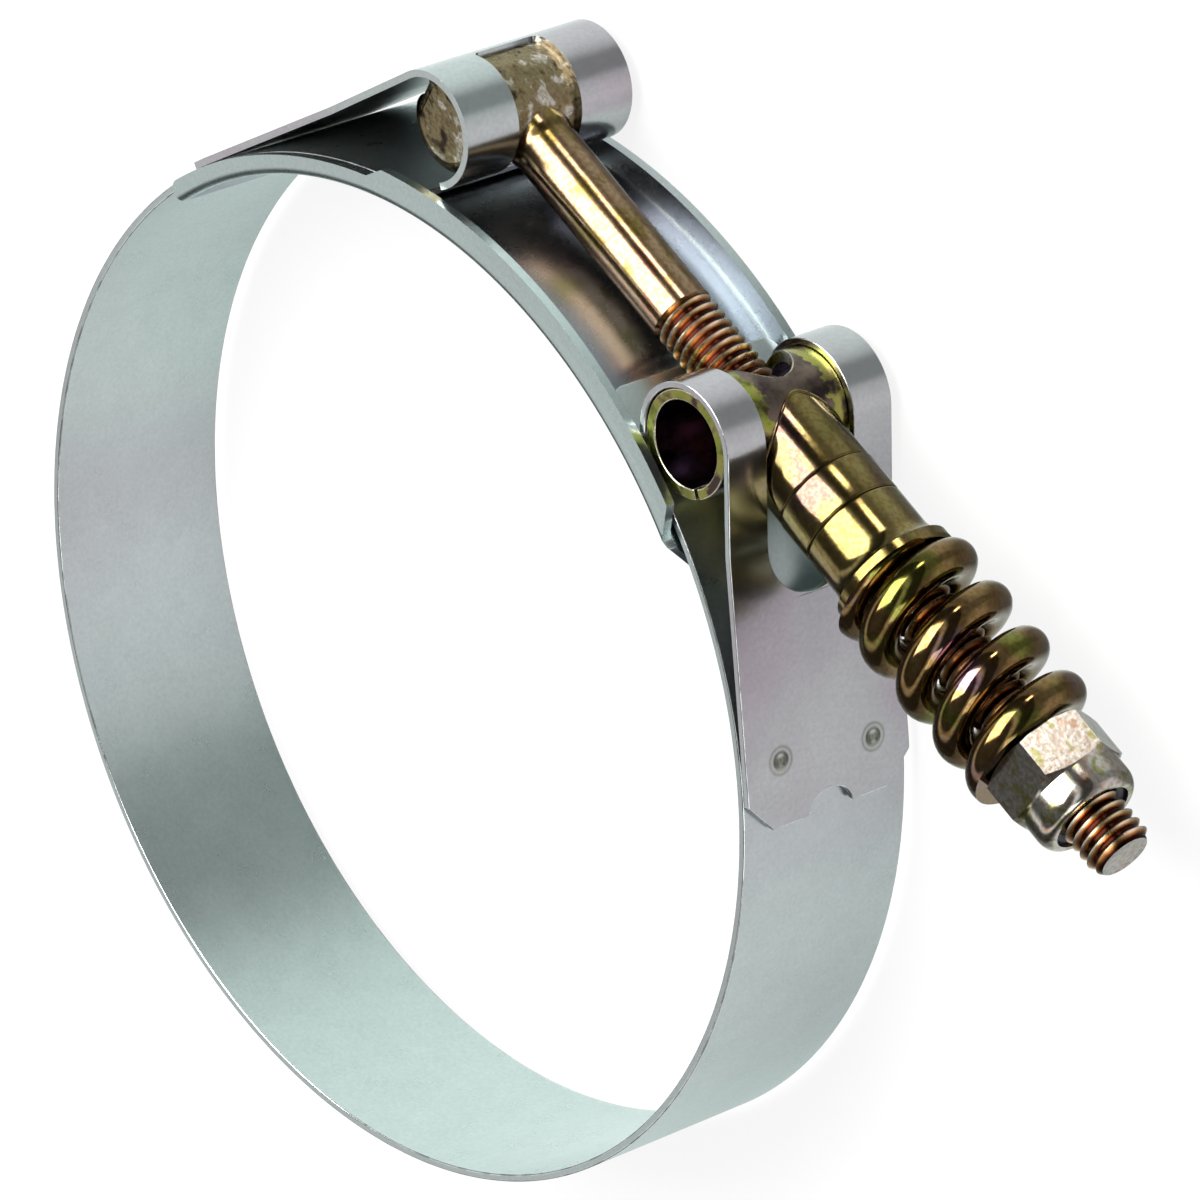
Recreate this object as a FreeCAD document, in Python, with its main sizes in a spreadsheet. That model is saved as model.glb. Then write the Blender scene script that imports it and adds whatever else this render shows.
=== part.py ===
import FreeCAD, Part
import Sketcher
import math
import os

from FreeCAD import Placement, Rotation, Vector

# Frame: the origin is the centre of the ring, halfway across the band.
# Z is the ring's axis, and the bolt runs along +X on the +Y side.

document = FreeCAD.newDocument("t_bolt_clamp")
sheet = document.addObject("Spreadsheet::Sheet", "Sizes")

# Driving dimensions in millimetres and degrees. Angles are counted round the ring from +X.
SIZES = {
    # the band, a strip bent into an open ring
    "band_width": 19.05,
    "band_outer_radius": 48.5,
    "band_thickness": 0.7,
    "band_end_bolt_side": 113,
    "band_end_nut_side": 80.4,
    "band_corner_radius": 1.5,
    # the bridge, a channel that closes the gap inside the band
    "bridge_thickness": 0.9,
    "bridge_gap": 0.4,
    "bridge_side_gap": 0.3,
    "bridge_start": 155.2,
    "bridge_end": 62.6,
    "bridge_bend_radius": 0.6,
    "bridge_corner": 1,
    "tongue_width": 16,
    "tongue_shoulder": 2.4,
    "tongue_end": 44,
    "tongue_corner": 3,
    "flange_rise": 1.1,
    "low_flange_drop": 1.15,
    "flange_step": 120,
    "flange_step_slant": 2.4,
    "flange_end_slant": 4.1,
    # the two straps, welded on the band and hooked round their pins
    "strap_thickness": 0.65,
    "weld_gap": 0.08,
    "pin_gap": 0.07,
    "strap_chamfer": 2.8,
    "strap_notch_radius": 2.8,
    "strap_bend_radius": 9,
    "strap_notch_set_back": -0.8,
    "bolt_strap_end": 25,
    "bolt_strap_departure": 31,
    "bolt_strap_straight": 20,
    "bolt_strap_hook": 222,
    "bolt_slot_width": 7.3,
    "bolt_slot_rear": 1.6,
    "bolt_slot_corner": 1.2,
    "nut_strap_end": 31,
    "nut_strap_departure": 36.5,
    "nut_strap_straight": 21,
    "nut_strap_hook": 216,
    "nut_slot_width": 10.1,
    "nut_slot_reach": 20.6,
    # where the pins are: the bolt's axis above the ring's centre, and each pin along it
    "bolt_height": 50.75,
    "head_pin_offset": 21.04,
    "trunnion_offset": 17.55,
    # the T-bolt
    "head_radius": 4.68,
    "head_length": 15,
    "head_back": 2.4,
    "head_edge": 1.2,
    "neck_radius": 3.7,
    "neck_length": 1.6,
    "bolt_radius": 2.95,
    "bolt_thread_start": 5.1,
    "bolt_thread_relief": 0.12,
    "bolt_tip": 69.3,
    "bolt_tip_chamfer": 0.5,
    # the trunnion, a rolled tube with a spout for the bolt
    "barrel_radius": 5,
    "barrel_wall": 1.05,
    "barrel_length": 18.6,
    "barrel_seam": 0.5,
    "barrel_seam_angle": -42,
    "barrel_mouth_radius": 3.75,
    "spout_radius": 4.8,
    "spout_end": 26.5,
    "bore_gap": 0.4,
    # the two loose sleeves on the bolt
    "joint_gap": 0.05,
    "spacer_radius": 4.9,
    "spacer_length": 4,
    "seat_length": 6.7,
    "seat_rim_radius": 5.8,
    "seat_rim_length": 1.1,
    "seat_flare": 1.8,
    "sleeve_edge": 0.2,
    # the spring
    "spring_wire": 3.55,
    "spring_radius": 6.7,
    "spring_length": 19.75,
    "spring_turns": 4.95,
    "spring_closed_turns": 1,
    "spring_ground": 1.5,
    # the lock nut and its insert
    "nut_across_flats": 10,
    "nut_hex_length": 4.6,
    "nut_collar_length": 3.1,
    "nut_collar_radius": 4.9,
    "nut_collar_round": 1.5,
    "nut_turn": -9.5,
    "nut_lip": 0.5,
    "nut_gap": 0.08,
    "nut_chamfer": 0.45,
    "insert_radius": 3.8,
    "insert_length": 1.9,
}

for row, (alias, value) in enumerate(SIZES.items(), start=1):
    sheet.set(f"A{row}", alias)
    sheet.set(f"B{row}", str(value))
    sheet.setAlias(f"B{row}", alias)
document.recompute()


def size(expression):
    """The value of an expression, in which each name from the sheet follows a dollar sign."""
    value = sheet.evalExpression(bind(expression))
    return float(getattr(value, "Value", value))


def bind(expression):
    """The same expression as FreeCAD reads it."""
    return expression.replace("$", "Sizes.")


def new_body(label):
    """An empty body whose label is also the name of its file."""
    body = document.addObject("PartDesign::Body", label)
    body.Label = label
    return body


def origin_plane(body, role):
    """One of the body's own three planes."""
    return next(o for o in body.Origin.OriginFeatures if o.Role == role)


def new_sketch(body, name, role="XY_Plane"):
    """An empty sketch on one of the body's planes."""
    sketch = body.newObject("Sketcher::SketchObject", name)
    sketch.AttachmentSupport = [(origin_plane(body, role), "")]
    sketch.MapMode = "FlatFace"
    return sketch


def bind_datum(sketch, constraint, expression):
    """Adds a dimension to a sketch and ties it to the sheet."""
    index = sketch.addConstraint(constraint)
    sketch.setExpression(f"Constraints[{index}]", bind(expression))


def place_point(sketch, curve, end, across, along):
    """Ties a curve's end to two expressions, or to an axis where the value is zero."""
    for kind, axis, expression in (("DistanceX", -2, across), ("DistanceY", -1, along)):
        value = size(expression)
        if abs(value) < 1e-9:
            sketch.addConstraint(Sketcher.Constraint("PointOnObject", curve, end, axis))
        elif value > 0:
            constraint = Sketcher.Constraint(kind, -1, 1, curve, end, value)
            bind_datum(sketch, constraint, expression)
        else:
            constraint = Sketcher.Constraint(kind, curve, end, -1, 1, -value)
            bind_datum(sketch, constraint, f"-({expression})")


def polygon(sketch, corners):
    """Draws a closed outline whose corners are pairs of expressions."""
    points = [Vector(size(x), size(y), 0) for x, y in corners]
    first = sketch.GeometryCount
    for start, stop in zip(points, points[1:] + points[:1]):
        sketch.addGeometry(Part.LineSegment(start, stop))
    for n in range(len(points)):
        following = first + (n + 1) % len(points)
        sketch.addConstraint(Sketcher.Constraint("Coincident", first + n, 2, following, 1))
    for n, (x, y) in enumerate(corners):
        place_point(sketch, first + n, 1, x, y)


def revolve(body, name, corners):
    """Turns an outline of (along the axis, radius) pairs about the bolt's axis."""
    sketch = new_sketch(body, name + "_profile")
    polygon(sketch, corners)
    turned = body.newObject("PartDesign::Revolution", name)
    turned.Profile = sketch
    turned.ReferenceAxis = (sketch, ["H_Axis"])
    turned.Angle = 360
    document.recompute()
    return turned


def pad(body, sketch, name, length):
    """A plate as thick on both sides of its sketch."""
    feature = body.newObject("PartDesign::Pad", name)
    feature.Profile = sketch
    feature.Midplane = True
    feature.setExpression("Length", bind(length))
    document.recompute()
    return feature


def cut(body, sketch, name, length):
    """A pocket the same depth on both sides of its sketch, which has to remove something."""
    before = body.Shape.Volume
    feature = body.newObject("PartDesign::Pocket", name)
    feature.Profile = sketch
    feature.Midplane = True
    feature.setExpression("Length", bind(length))
    document.recompute()
    if not body.Shape.Volume < before - 1e-6:
        raise RuntimeError(f"{name} cuts nothing")
    return feature


def polar(radius, degrees, centre=Vector(0, 0, 0)):
    """A point at a distance from a centre, in a direction counted from +X."""
    angle = math.radians(degrees)
    return centre + Vector(radius * math.cos(angle), radius * math.sin(angle), 0)


def arc(centre, radius, start, stop):
    """An arc counted anticlockwise in degrees."""
    circle = Part.Circle(centre, Vector(0, 0, 1), radius)
    return Part.ArcOfCircle(circle, math.radians(start), math.radians(stop))


def ring_strip(sketch, inner, outer, start, stop, slant_start=0, slant_stop=0):
    """A closed strip between two radii and two angles, whose ends may lean by an angle."""
    low, high = size(start), size(stop)
    zero = Vector(0, 0, 0)
    radii = (inner, outer)
    ends = ((low, low + slant_start), (high, high + slant_stop))
    for radius, leaning in zip(radii, (0, 1)):
        sketch.addGeometry(arc(zero, size(radius), ends[0][leaning], ends[1][leaning]))
    for inner_angle, outer_angle in ends:
        sketch.addGeometry(
            Part.LineSegment(
                polar(size(inner), inner_angle), polar(size(outer), outer_angle)
            )
        )
    for curve, radius in enumerate(radii):
        sketch.addConstraint(Sketcher.Constraint("Coincident", curve, 3, -1, 1))
        constraint = Sketcher.Constraint("Radius", curve, size(radius))
        bind_datum(sketch, constraint, radius)
        for line in (2, 3):
            sketch.addConstraint(
                Sketcher.Constraint("Coincident", curve, line - 1, line, curve + 1)
            )
    for line, slant in ((2, slant_start), (3, slant_stop)):
        if not slant:
            sketch.addConstraint(Sketcher.Constraint("PointOnObject", -1, 1, line))


def edges_where(body, test):
    """Names of the edges, in the body's own frame, that a fillet or chamfer runs along."""
    names = []
    for number, edge in enumerate(body.Tip.Shape.Edges, start=1):
        if test(edge):
            names.append(f"Edge{number}")
    if not names:
        raise RuntimeError(f"{body.Label}: no edge found")
    return names


def radial_corner(edge, angle, half_width):
    """True for the short edge through a strip's thickness at this angle and width."""
    middle = edge.valueAt((edge.FirstParameter + edge.LastParameter) / 2)
    there = abs(abs(middle.z) - half_width) < 0.01
    turned = math.degrees(math.atan2(middle.y, middle.x)) - angle
    turned = (turned + 180) % 360 - 180
    return there and abs(turned) < 0.3 and edge.Length < 2 and abs(edge.tangentAt(
        edge.FirstParameter).z) < 0.01


def dress(body, kind, name, amount, edges):
    """A fillet or chamfer along some edges of the body as it stands."""
    base = body.Tip
    feature = body.newObject(f"PartDesign::{kind}", name)
    feature.Base = (base, edges)
    feature.setExpression("Radius" if kind == "Fillet" else "Size", bind(amount))
    body.Tip = feature
    document.recompute()
    return feature


def turn_ring(body, sketch, name, angle, backwards):
    """Turns a section about the ring's axis by part of a circle."""
    turned = body.newObject("PartDesign::Revolution", name)
    turned.Profile = sketch
    turned.ReferenceAxis = (sketch, ["V_Axis"])
    turned.setExpression("Angle", bind(angle))
    turned.Reversed = backwards
    document.recompute()
    return turned


def circle(body, name, radius):
    """A sketch of one circle round the body's origin."""
    sketch = new_sketch(body, name)
    sketch.addGeometry(Part.Circle(Vector(0, 0, 0), Vector(0, 0, 1), size(radius)))
    sketch.addConstraint(Sketcher.Constraint("Coincident", 0, 3, -1, 1))
    bind_datum(sketch, Sketcher.Constraint("Radius", 0, size(radius)), radius)
    return sketch


def hollow(body, name, start, stop, radius):
    """A round hole along the bolt's axis, between two places on it."""
    sketch = new_sketch(body, name + "_profile")
    polygon(sketch, [(start, "0"), (start, radius), (stop, radius), (stop, "0")])
    before = body.Shape.Volume
    groove = body.newObject("PartDesign::Groove", name)
    groove.Profile = sketch
    groove.ReferenceAxis = (sketch, ["H_Axis"])
    groove.Angle = 360
    document.recompute()
    if not body.Shape.Volume < before - 1e-6:
        raise RuntimeError(f"{name} cuts nothing")


def sleeve(label, corners):
    """A turned ring on the bolt's axis."""
    body = new_body(label)
    body.setExpression("Placement.Base.y", bind("$bolt_height"))
    revolve(body, label + "_turned", corners)
    return body


# Shared values that several pieces take their place from
BAND_INNER = "$band_outer_radius - $band_thickness"
STRAP_INNER = "$band_outer_radius + $weld_gap"
STRAP_OUTER = "$band_outer_radius + $weld_gap + $strap_thickness"
BRIDGE_OUTER = "$band_outer_radius - $band_thickness - $bridge_gap"
BRIDGE_INNER = "$band_outer_radius - $band_thickness - $bridge_gap - $bridge_thickness"
CHANNEL_HALF = "$band_width / 2 + $bridge_side_gap"
BRIDGE_HALF = "$band_width / 2 + $bridge_side_gap + $bridge_thickness"
FLANGE_TOP = "$band_outer_radius + $flange_rise"
SPACER_START = "$spout_end + $joint_gap"
SPACER_END = "$spout_end + $joint_gap + $spacer_length"
SEAT_START = "$spout_end + 2 * $joint_gap + $spacer_length"
SEAT_END = "$spout_end + 2 * $joint_gap + $spacer_length + $seat_length"
SPRING_START = SEAT_END + " + $joint_gap"
SPRING_END = SPRING_START + " + $spring_length"
NUT_START = SPRING_END + " + $joint_gap"
NUT_HEX_END = NUT_START + " + $nut_hex_length"
NUT_END = NUT_HEX_END + " + $nut_collar_length"
BORE_RADIUS = "$bolt_radius + $bore_gap"


# Band
band = new_body("band")
band_sketch = new_sketch(band, "band_ring")
ring_strip(
    band_sketch,
    BAND_INNER,
    "$band_outer_radius",
    "$band_end_bolt_side",
    "$band_end_nut_side + 360",
)
pad(band, band_sketch, "band_strip", "$band_width")
band_corners = edges_where(
    band,
    lambda edge: any(
        radial_corner(edge, size(end), size("$band_width / 2"))
        for end in ("$band_end_bolt_side", "$band_end_nut_side")
    ),
)
dress(band, "Fillet", "band_corners", "$band_corner_radius", band_corners)


# Bridge: a channel section turned about the ring's axis, with a tongue under the band.
# Its body is turned so that its own X axis points at the channel's end.
bridge = new_body("bridge")
bridge.Placement = Placement(Vector(0, 0, 0), Rotation(Vector(0, 0, 1), size("$bridge_end")))

channel_section = new_sketch(bridge, "channel_section", "XZ_Plane")
polygon(
    channel_section,
    [
        (BRIDGE_INNER, f"-({BRIDGE_HALF})"),
        (FLANGE_TOP, f"-({BRIDGE_HALF})"),
        (FLANGE_TOP, f"-({CHANNEL_HALF})"),
        (BRIDGE_OUTER, f"-({CHANNEL_HALF})"),
        (BRIDGE_OUTER, CHANNEL_HALF),
        (FLANGE_TOP, CHANNEL_HALF),
        (FLANGE_TOP, BRIDGE_HALF),
        (BRIDGE_INNER, BRIDGE_HALF),
    ],
)
turn_ring(bridge, channel_section, "channel", "$bridge_start - $bridge_end", False)

tongue_section = new_sketch(bridge, "tongue_section", "XZ_Plane")
polygon(
    tongue_section,
    [
        (BRIDGE_INNER, f"-({CHANNEL_HALF})"),
        (BRIDGE_OUTER, f"-({CHANNEL_HALF})"),
        (BRIDGE_OUTER, CHANNEL_HALF),
        (BRIDGE_INNER, CHANNEL_HALF),
    ],
)
turn_ring(bridge, tongue_section, "tongue", "$bridge_end - $tongue_end", True)

shoulders = new_sketch(bridge, "shoulder_outline", "YZ_Plane")
for side in ("", "-"):
    polygon(
        shoulders,
        [
            ("0", f"{side}({CHANNEL_HALF})"),
            ("-$tongue_shoulder", f"{side}($tongue_width / 2)"),
            ("-$band_outer_radius", f"{side}($tongue_width / 2)"),
            ("-$band_outer_radius", f"{side}($band_width)"),
            ("0", f"{side}($band_width)"),
        ],
    )
cut(bridge, shoulders, "tongue_shoulders", "$band_outer_radius * 3")

bends = edges_where(
    bridge,
    lambda edge: isinstance(edge.Curve, Part.Circle)
    and abs(edge.Curve.Radius - size(BRIDGE_INNER)) < 0.01
    and abs(abs(edge.Curve.Center.z) - size(BRIDGE_HALF)) < 0.01,
)
dress(bridge, "Fillet", "flange_bends", "$bridge_bend_radius", bends)

low_flange = new_sketch(bridge, "low_flange_outline")
ring_strip(
    low_flange,
    FLANGE_TOP + " - $low_flange_drop",
    FLANGE_TOP + " + $bridge_thickness",
    "$flange_step - $bridge_end",
    "$bridge_start - $bridge_end + 2",
    slant_start=-size("$flange_step_slant"),
)
cut(bridge, low_flange, "low_flange", "$band_width * 2")

flange_end = new_sketch(bridge, "flange_end_outline")
ring_strip(
    flange_end,
    BRIDGE_OUTER + " + 0.02",
    FLANGE_TOP + " + $bridge_thickness",
    "-2",
    "0.3",
    slant_stop=size("$flange_end_slant"),
)
cut(bridge, flange_end, "flange_end", "$band_width * 2")

tongue_corners = edges_where(
    bridge,
    lambda edge: radial_corner(
        edge, size("$tongue_end - $bridge_end"), size("$tongue_width / 2")
    ),
)
dress(bridge, "Fillet", "tongue_corners", "$tongue_corner", tongue_corners)

low_top = size(FLANGE_TOP + " - $low_flange_drop")
far_end = polar(low_top, size("$bridge_start - $bridge_end"))
flange_corners = edges_where(
    bridge,
    lambda edge: edge.Length < size("$bridge_thickness") + 0.01
    and math.hypot(edge.CenterOfMass.x - far_end.x, edge.CenterOfMass.y - far_end.y) < 0.01,
)
dress(bridge, "Fillet", "flange_corners", "$bridge_corner", flange_corners)


# Straps. Both are drawn on the +X side, and the bolt's strap is then mirrored in the sketch.
def strap(label, side, pin_x, pin_radius, end, departure, straight, hook):
    """A leaf that lies on the band, rises along a tangent and hooks round its pin."""
    body = new_body(label)
    sketch = new_sketch(body, label + "_outline")
    pin = Vector(size(pin_x), size("$bolt_height"), 0)
    first, last = size(end), size(hook)
    rise = size(departure)
    ring_inner = size(STRAP_INNER)
    loop_inner = size(pin_radius + " + $pin_gap")
    thickness = size("$strap_thickness")
    bend = size("$strap_bend_radius")

    start = polar(ring_inner, rise) + polar(size(straight), rise + 90)
    away = start - pin
    lean = math.degrees(math.atan2(away.y, away.x) + math.acos(loop_inner / away.Length))
    half_turn = math.radians(rise - lean) / 2

    rows = []
    for offset in (0, thickness):
        ring_radius = ring_inner + offset
        loop_radius = loop_inner + offset
        bend_radius = bend + thickness - offset
        corner = meeting(rise, ring_radius, lean, polar(1, lean).dot(pin) + loop_radius)
        centre = corner + polar(bend_radius / math.cos(half_turn), (rise + lean) / 2)
        reach = bend_radius * math.tan(half_turn)
        rows.append(
            [
                (Vector(0, 0, 0), ring_radius, first, rise),
                (polar(ring_radius, rise), corner + polar(reach, rise - 90)),
                (centre, bend_radius, lean + 180, rise + 180),
                (corner + polar(reach, lean + 90), polar(loop_radius, lean, pin)),
                (pin, loop_radius, lean, last),
            ]
        )
    rows.append([(polar(ring_inner, first), polar(ring_inner + thickness, first))])
    rows.append(
        [
            (
                polar(loop_inner, last, pin),
                polar(loop_inner + thickness, last, pin),
            )
        ]
    )
    for row in rows:
        for piece in row:
            sketch.addGeometry(mirrored(piece, side))
    loops = ((0, STRAP_INNER), (5, STRAP_OUTER))
    for curve, radius in loops:
        sketch.addConstraint(Sketcher.Constraint("Coincident", curve, 3, -1, 1))
        bind_datum(sketch, Sketcher.Constraint("Radius", curve, size(radius)), radius)
    for curve, extra in ((4, ""), (9, " + $strap_thickness")):
        radius = pin_radius + " + $pin_gap" + extra
        bind_datum(sketch, Sketcher.Constraint("Radius", curve, size(radius)), radius)
        across = pin_x if side > 0 else f"-{pin_x}"
        place_point(sketch, curve, 3, across, "$bolt_height")
    pad(body, sketch, label + "_strip", "$band_width")

    chamfered = edges_where(
        body,
        lambda edge: radial_corner(
            edge, first if side > 0 else 180 - first, size("$band_width / 2")
        ),
    )
    dress(body, "Chamfer", label + "_end", "$strap_chamfer", chamfered)
    notch_at = polar(ring_inner - 1, first) - polar(size("$strap_notch_set_back"), first + 90)
    drill(body, label + "_notch", "$strap_notch_radius", notch_at, first, side)
    return body


def meeting(first_normal, first_distance, second_normal, second_distance):
    """Where two lines cross, each given by its normal's angle and distance from the origin."""
    one, two = polar(1, first_normal), polar(1, second_normal)
    turned = one.x * two.y - one.y * two.x
    return Vector(
        (first_distance * two.y - second_distance * one.y) / turned,
        (second_distance * one.x - first_distance * two.x) / turned,
        0,
    )


def mirrored(piece, side):
    """A line given by its ends, or an arc given by centre, radius and two angles."""
    if len(piece) == 2:
        ends = [Vector(side * point.x, point.y, 0) for point in piece]
        return Part.LineSegment(*ends)
    centre, radius, start, stop = piece
    if side < 0:
        start, stop = 180 - stop, 180 - start
    return arc(Vector(side * centre.x, centre.y, 0), radius, start, stop)


def drill(body, name, radius, point, degrees, side):
    """A round hole through a strap, square to its surface."""
    if side < 0:
        point, degrees = Vector(-point.x, point.y, 0), 180 - degrees
    hole = body.newObject("PartDesign::SubtractiveCylinder", name)
    hole.setExpression("Radius", bind(radius))
    hole.setExpression("Height", bind("$strap_thickness + 3"))
    out = Rotation(Vector(0, 0, 1), polar(1, degrees))
    hole.Placement = Placement(point, out)
    before = body.Shape.Volume
    document.recompute()
    if not body.Shape.Volume < before - 1e-6:
        raise RuntimeError(f"{name} cuts nothing")


def slot(body, name, width, corners):
    """Takes an open slot for the bolt out of a strap."""
    sketch = new_sketch(body, name + "_outline")
    points = corners + corners[:1]
    for start, stop in zip(points, points[1:]):
        sketch.addGeometry(Part.LineSegment(start, stop))
    cut(body, sketch, name, width)


bolt_strap = strap(
    "bolt_strap",
    -1,
    "$head_pin_offset",
    "$head_radius",
    "$bolt_strap_end",
    "$bolt_strap_departure",
    "$bolt_strap_straight",
    "$bolt_strap_hook",
)
rear = -size("$head_pin_offset + $bolt_slot_rear")
crest = size("$bolt_height")
reach = size("$head_radius + $strap_thickness") * 2
slot(
    bolt_strap,
    "bolt_slot",
    "$bolt_slot_width",
    [
        Vector(rear, crest, 0),
        Vector(rear, crest + reach, 0),
        Vector(rear + reach, crest + reach, 0),
        Vector(rear + reach, crest - reach, 0),
        Vector(rear + reach / 4, crest - reach, 0),
        Vector(rear + reach / 4, crest, 0),
    ],
)
slot_corners = edges_where(
    bolt_strap,
    lambda edge: abs(edge.CenterOfMass.x - rear) < 0.01
    and abs(abs(edge.CenterOfMass.z) - size("$bolt_slot_width / 2")) < 0.01
    and edge.Length < 2,
)
dress(bolt_strap, "Fillet", "bolt_slot_corners", "$bolt_slot_corner", slot_corners)

nut_strap = strap(
    "nut_strap",
    1,
    "$trunnion_offset",
    "$barrel_radius",
    "$nut_strap_end",
    "$nut_strap_departure",
    "$nut_strap_straight",
    "$nut_strap_hook",
)
rise = size("$nut_strap_departure")
slot_end = polar(size(STRAP_INNER) - 1, rise) + polar(size("$nut_slot_reach"), rise + 90)
drill(nut_strap, "nut_slot_end", "$nut_slot_width / 2", slot_end, rise, 1)
pin = Vector(size("$trunnion_offset"), crest, 0)
reach = size("$barrel_radius + $strap_thickness") * 2
slot(
    nut_strap,
    "nut_slot",
    "$nut_slot_width",
    [
        slot_end,
        slot_end + polar(4, rise),
        pin + Vector(reach, reach, 0),
        pin + Vector(-reach, reach, 0),
        pin + Vector(-reach, -reach, 0),
        pin + Vector(0, -reach, 0),
        pin,
    ],
)


# T-bolt: a round-fronted head across the strap's loop, a neck and a plain shank.
# Its body's origin is on the head's axis.
t_bolt = new_body("t_bolt")
t_bolt.setExpression("Placement.Base.x", bind("-$head_pin_offset"))
t_bolt.setExpression("Placement.Base.y", bind("$bolt_height"))
head = new_sketch(t_bolt, "head_outline")
half_open = 180 - math.degrees(math.acos(size("$head_back / $head_radius")))
head.addGeometry(arc(Vector(0, 0, 0), size("$head_radius"), -half_open, half_open))
head.addGeometry(
    Part.LineSegment(
        polar(size("$head_radius"), half_open), polar(size("$head_radius"), -half_open)
    )
)
head.addConstraint(Sketcher.Constraint("Coincident", 0, 3, -1, 1))
head.addConstraint(Sketcher.Constraint("Coincident", 0, 2, 1, 1))
head.addConstraint(Sketcher.Constraint("Coincident", 1, 2, 0, 1))
head.addConstraint(Sketcher.Constraint("Vertical", 1))
bind_datum(head, Sketcher.Constraint("Radius", 0, size("$head_radius")), "$head_radius")
bind_datum(
    head, Sketcher.Constraint("DistanceX", 1, 1, -1, 1, size("$head_back")), "$head_back"
)
pad(t_bolt, head, "head", "$head_length")
head_edges = edges_where(
    t_bolt, lambda edge: abs(abs(edge.CenterOfMass.z) - size("$head_length / 2")) < 0.01
)
dress(t_bolt, "Fillet", "head_edges", "$head_edge", head_edges)
TIP = "$bolt_tip + $head_pin_offset"
THREAD = "$bolt_thread_start + $head_pin_offset"
ROOT = "$bolt_radius - $bolt_thread_relief"
revolve(
    t_bolt,
    "shank",
    [
        ("0", "0"),
        ("0", "$neck_radius"),
        ("$head_radius", "$neck_radius"),
        ("$head_radius + $neck_length", "$bolt_radius"),
        (THREAD, "$bolt_radius"),
        (THREAD + " + $bolt_thread_relief", ROOT),
        (TIP + " - $bolt_tip_chamfer", ROOT),
        (TIP, ROOT + " - $bolt_tip_chamfer"),
        (TIP, "0"),
    ],
)


# Trunnion: a rolled tube across the nut strap's loop, with a spout that the bolt runs in
trunnion = new_body("trunnion")
trunnion.setExpression("Placement.Base.x", bind("$trunnion_offset"))
trunnion.setExpression("Placement.Base.y", bind("$bolt_height"))
SPOUT = "$spout_end - $trunnion_offset"
pad(trunnion, circle(trunnion, "barrel_outline", "$barrel_radius"), "barrel", "$barrel_length")
revolve(
    trunnion,
    "spout",
    [
        ("0", "0"),
        ("0", "$spout_radius"),
        (SPOUT + " - $sleeve_edge", "$spout_radius"),
        (SPOUT, "$spout_radius - $sleeve_edge"),
        (SPOUT, "0"),
    ],
)
cut(
    trunnion,
    circle(trunnion, "barrel_bore_outline", "$barrel_radius - $barrel_wall"),
    "barrel_bore",
    "$barrel_length * 2",
)
hollow(trunnion, "spout_bore", "0", SPOUT + " + 1", BORE_RADIUS)
hollow(trunnion, "barrel_mouth", "-$barrel_radius - 1", "0", "$barrel_mouth_radius")
seam = new_sketch(trunnion, "seam_outline")
seam_side = size("$barrel_seam / 2")
seam_angle = size("$barrel_seam_angle")
seam_corners = [
    polar(along, seam_angle) + polar(across, seam_angle + 90)
    for along, across in (
        (size("$barrel_radius - $barrel_wall") - 1, -seam_side),
        (size("$barrel_radius") + 1, -seam_side),
        (size("$barrel_radius") + 1, seam_side),
        (size("$barrel_radius - $barrel_wall") - 1, seam_side),
    )
]
for start, stop in zip(seam_corners, seam_corners[1:] + seam_corners[:1]):
    seam.addGeometry(Part.LineSegment(start, stop))
cut(trunnion, seam, "seam", "$barrel_length * 2")


# Loose sleeves on the bolt: a plain spacer and the flared seat that the spring stands on
spacer = sleeve(
    "spacer",
    [
        (SPACER_START, BORE_RADIUS),
        (SPACER_START, "$spacer_radius - $sleeve_edge"),
        (SPACER_START + " + $sleeve_edge", "$spacer_radius"),
        (SPACER_END + " - $sleeve_edge", "$spacer_radius"),
        (SPACER_END, "$spacer_radius - $sleeve_edge"),
        (SPACER_END, BORE_RADIUS),
    ],
)
RIM = SEAT_END + " - $seat_rim_length"
spring_seat = sleeve(
    "spring_seat",
    [
        (SEAT_START, BORE_RADIUS),
        (SEAT_START, "$spacer_radius - $sleeve_edge"),
        (SEAT_START + " + $sleeve_edge", "$spacer_radius"),
        (RIM + " - $seat_flare", "$spacer_radius"),
        (RIM, "$seat_rim_radius - $sleeve_edge"),
        (RIM + " + $sleeve_edge", "$seat_rim_radius"),
        (SEAT_END + " - $sleeve_edge", "$seat_rim_radius"),
        (SEAT_END, "$seat_rim_radius - $sleeve_edge"),
        (SEAT_END, BORE_RADIUS),
    ],
)


# Spring: round wire wound with closed ends, both ground flat. It is made of small flat faces,
# which keeps the coil light.
def spring_lead(turn):
    """How far along the axis the wire's centre has come after some turns."""
    closed_part = min(turn, closed) + max(0, turn - (turns - closed))
    return closed_part * wire + (turn - closed_part) * active_pitch


def wire_section(turn):
    """Points round the wire after some turns, with what lies past a ground end cut off."""
    along = sum(spring_lead(turn + shift) for shift in (-PITCH_BLEND, 0, PITCH_BLEND)) / 3
    along -= ground
    angle = 2 * math.pi * turn
    outward = Vector(0, math.cos(angle), math.sin(angle))
    end_way = -1 if turn < turns / 2 else 1
    end_distance = along if end_way < 0 else coil_length - along
    cut_angle = math.acos(max(-1, min(1, end_distance / (wire / 2))))
    first = max(cut_angle, math.pi / WIRE_SIDES)
    points = []
    for n in range(WIRE_SIDES):
        share = (n if end_way < 0 else (n + WIRE_SIDES // 2) % WIRE_SIDES) / (WIRE_SIDES - 1)
        around = first + (2 * math.pi - 2 * first) * share
        point = outward * (coil_radius + wire / 2 * math.sin(around) * end_way)
        point.x = along + end_way * wire / 2 * math.cos(around)
        points.append(point)
    return points


def triangle(*corners):
    """A flat face with three corners."""
    return Part.Face(Part.makePolygon([*corners, corners[0]]))


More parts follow.
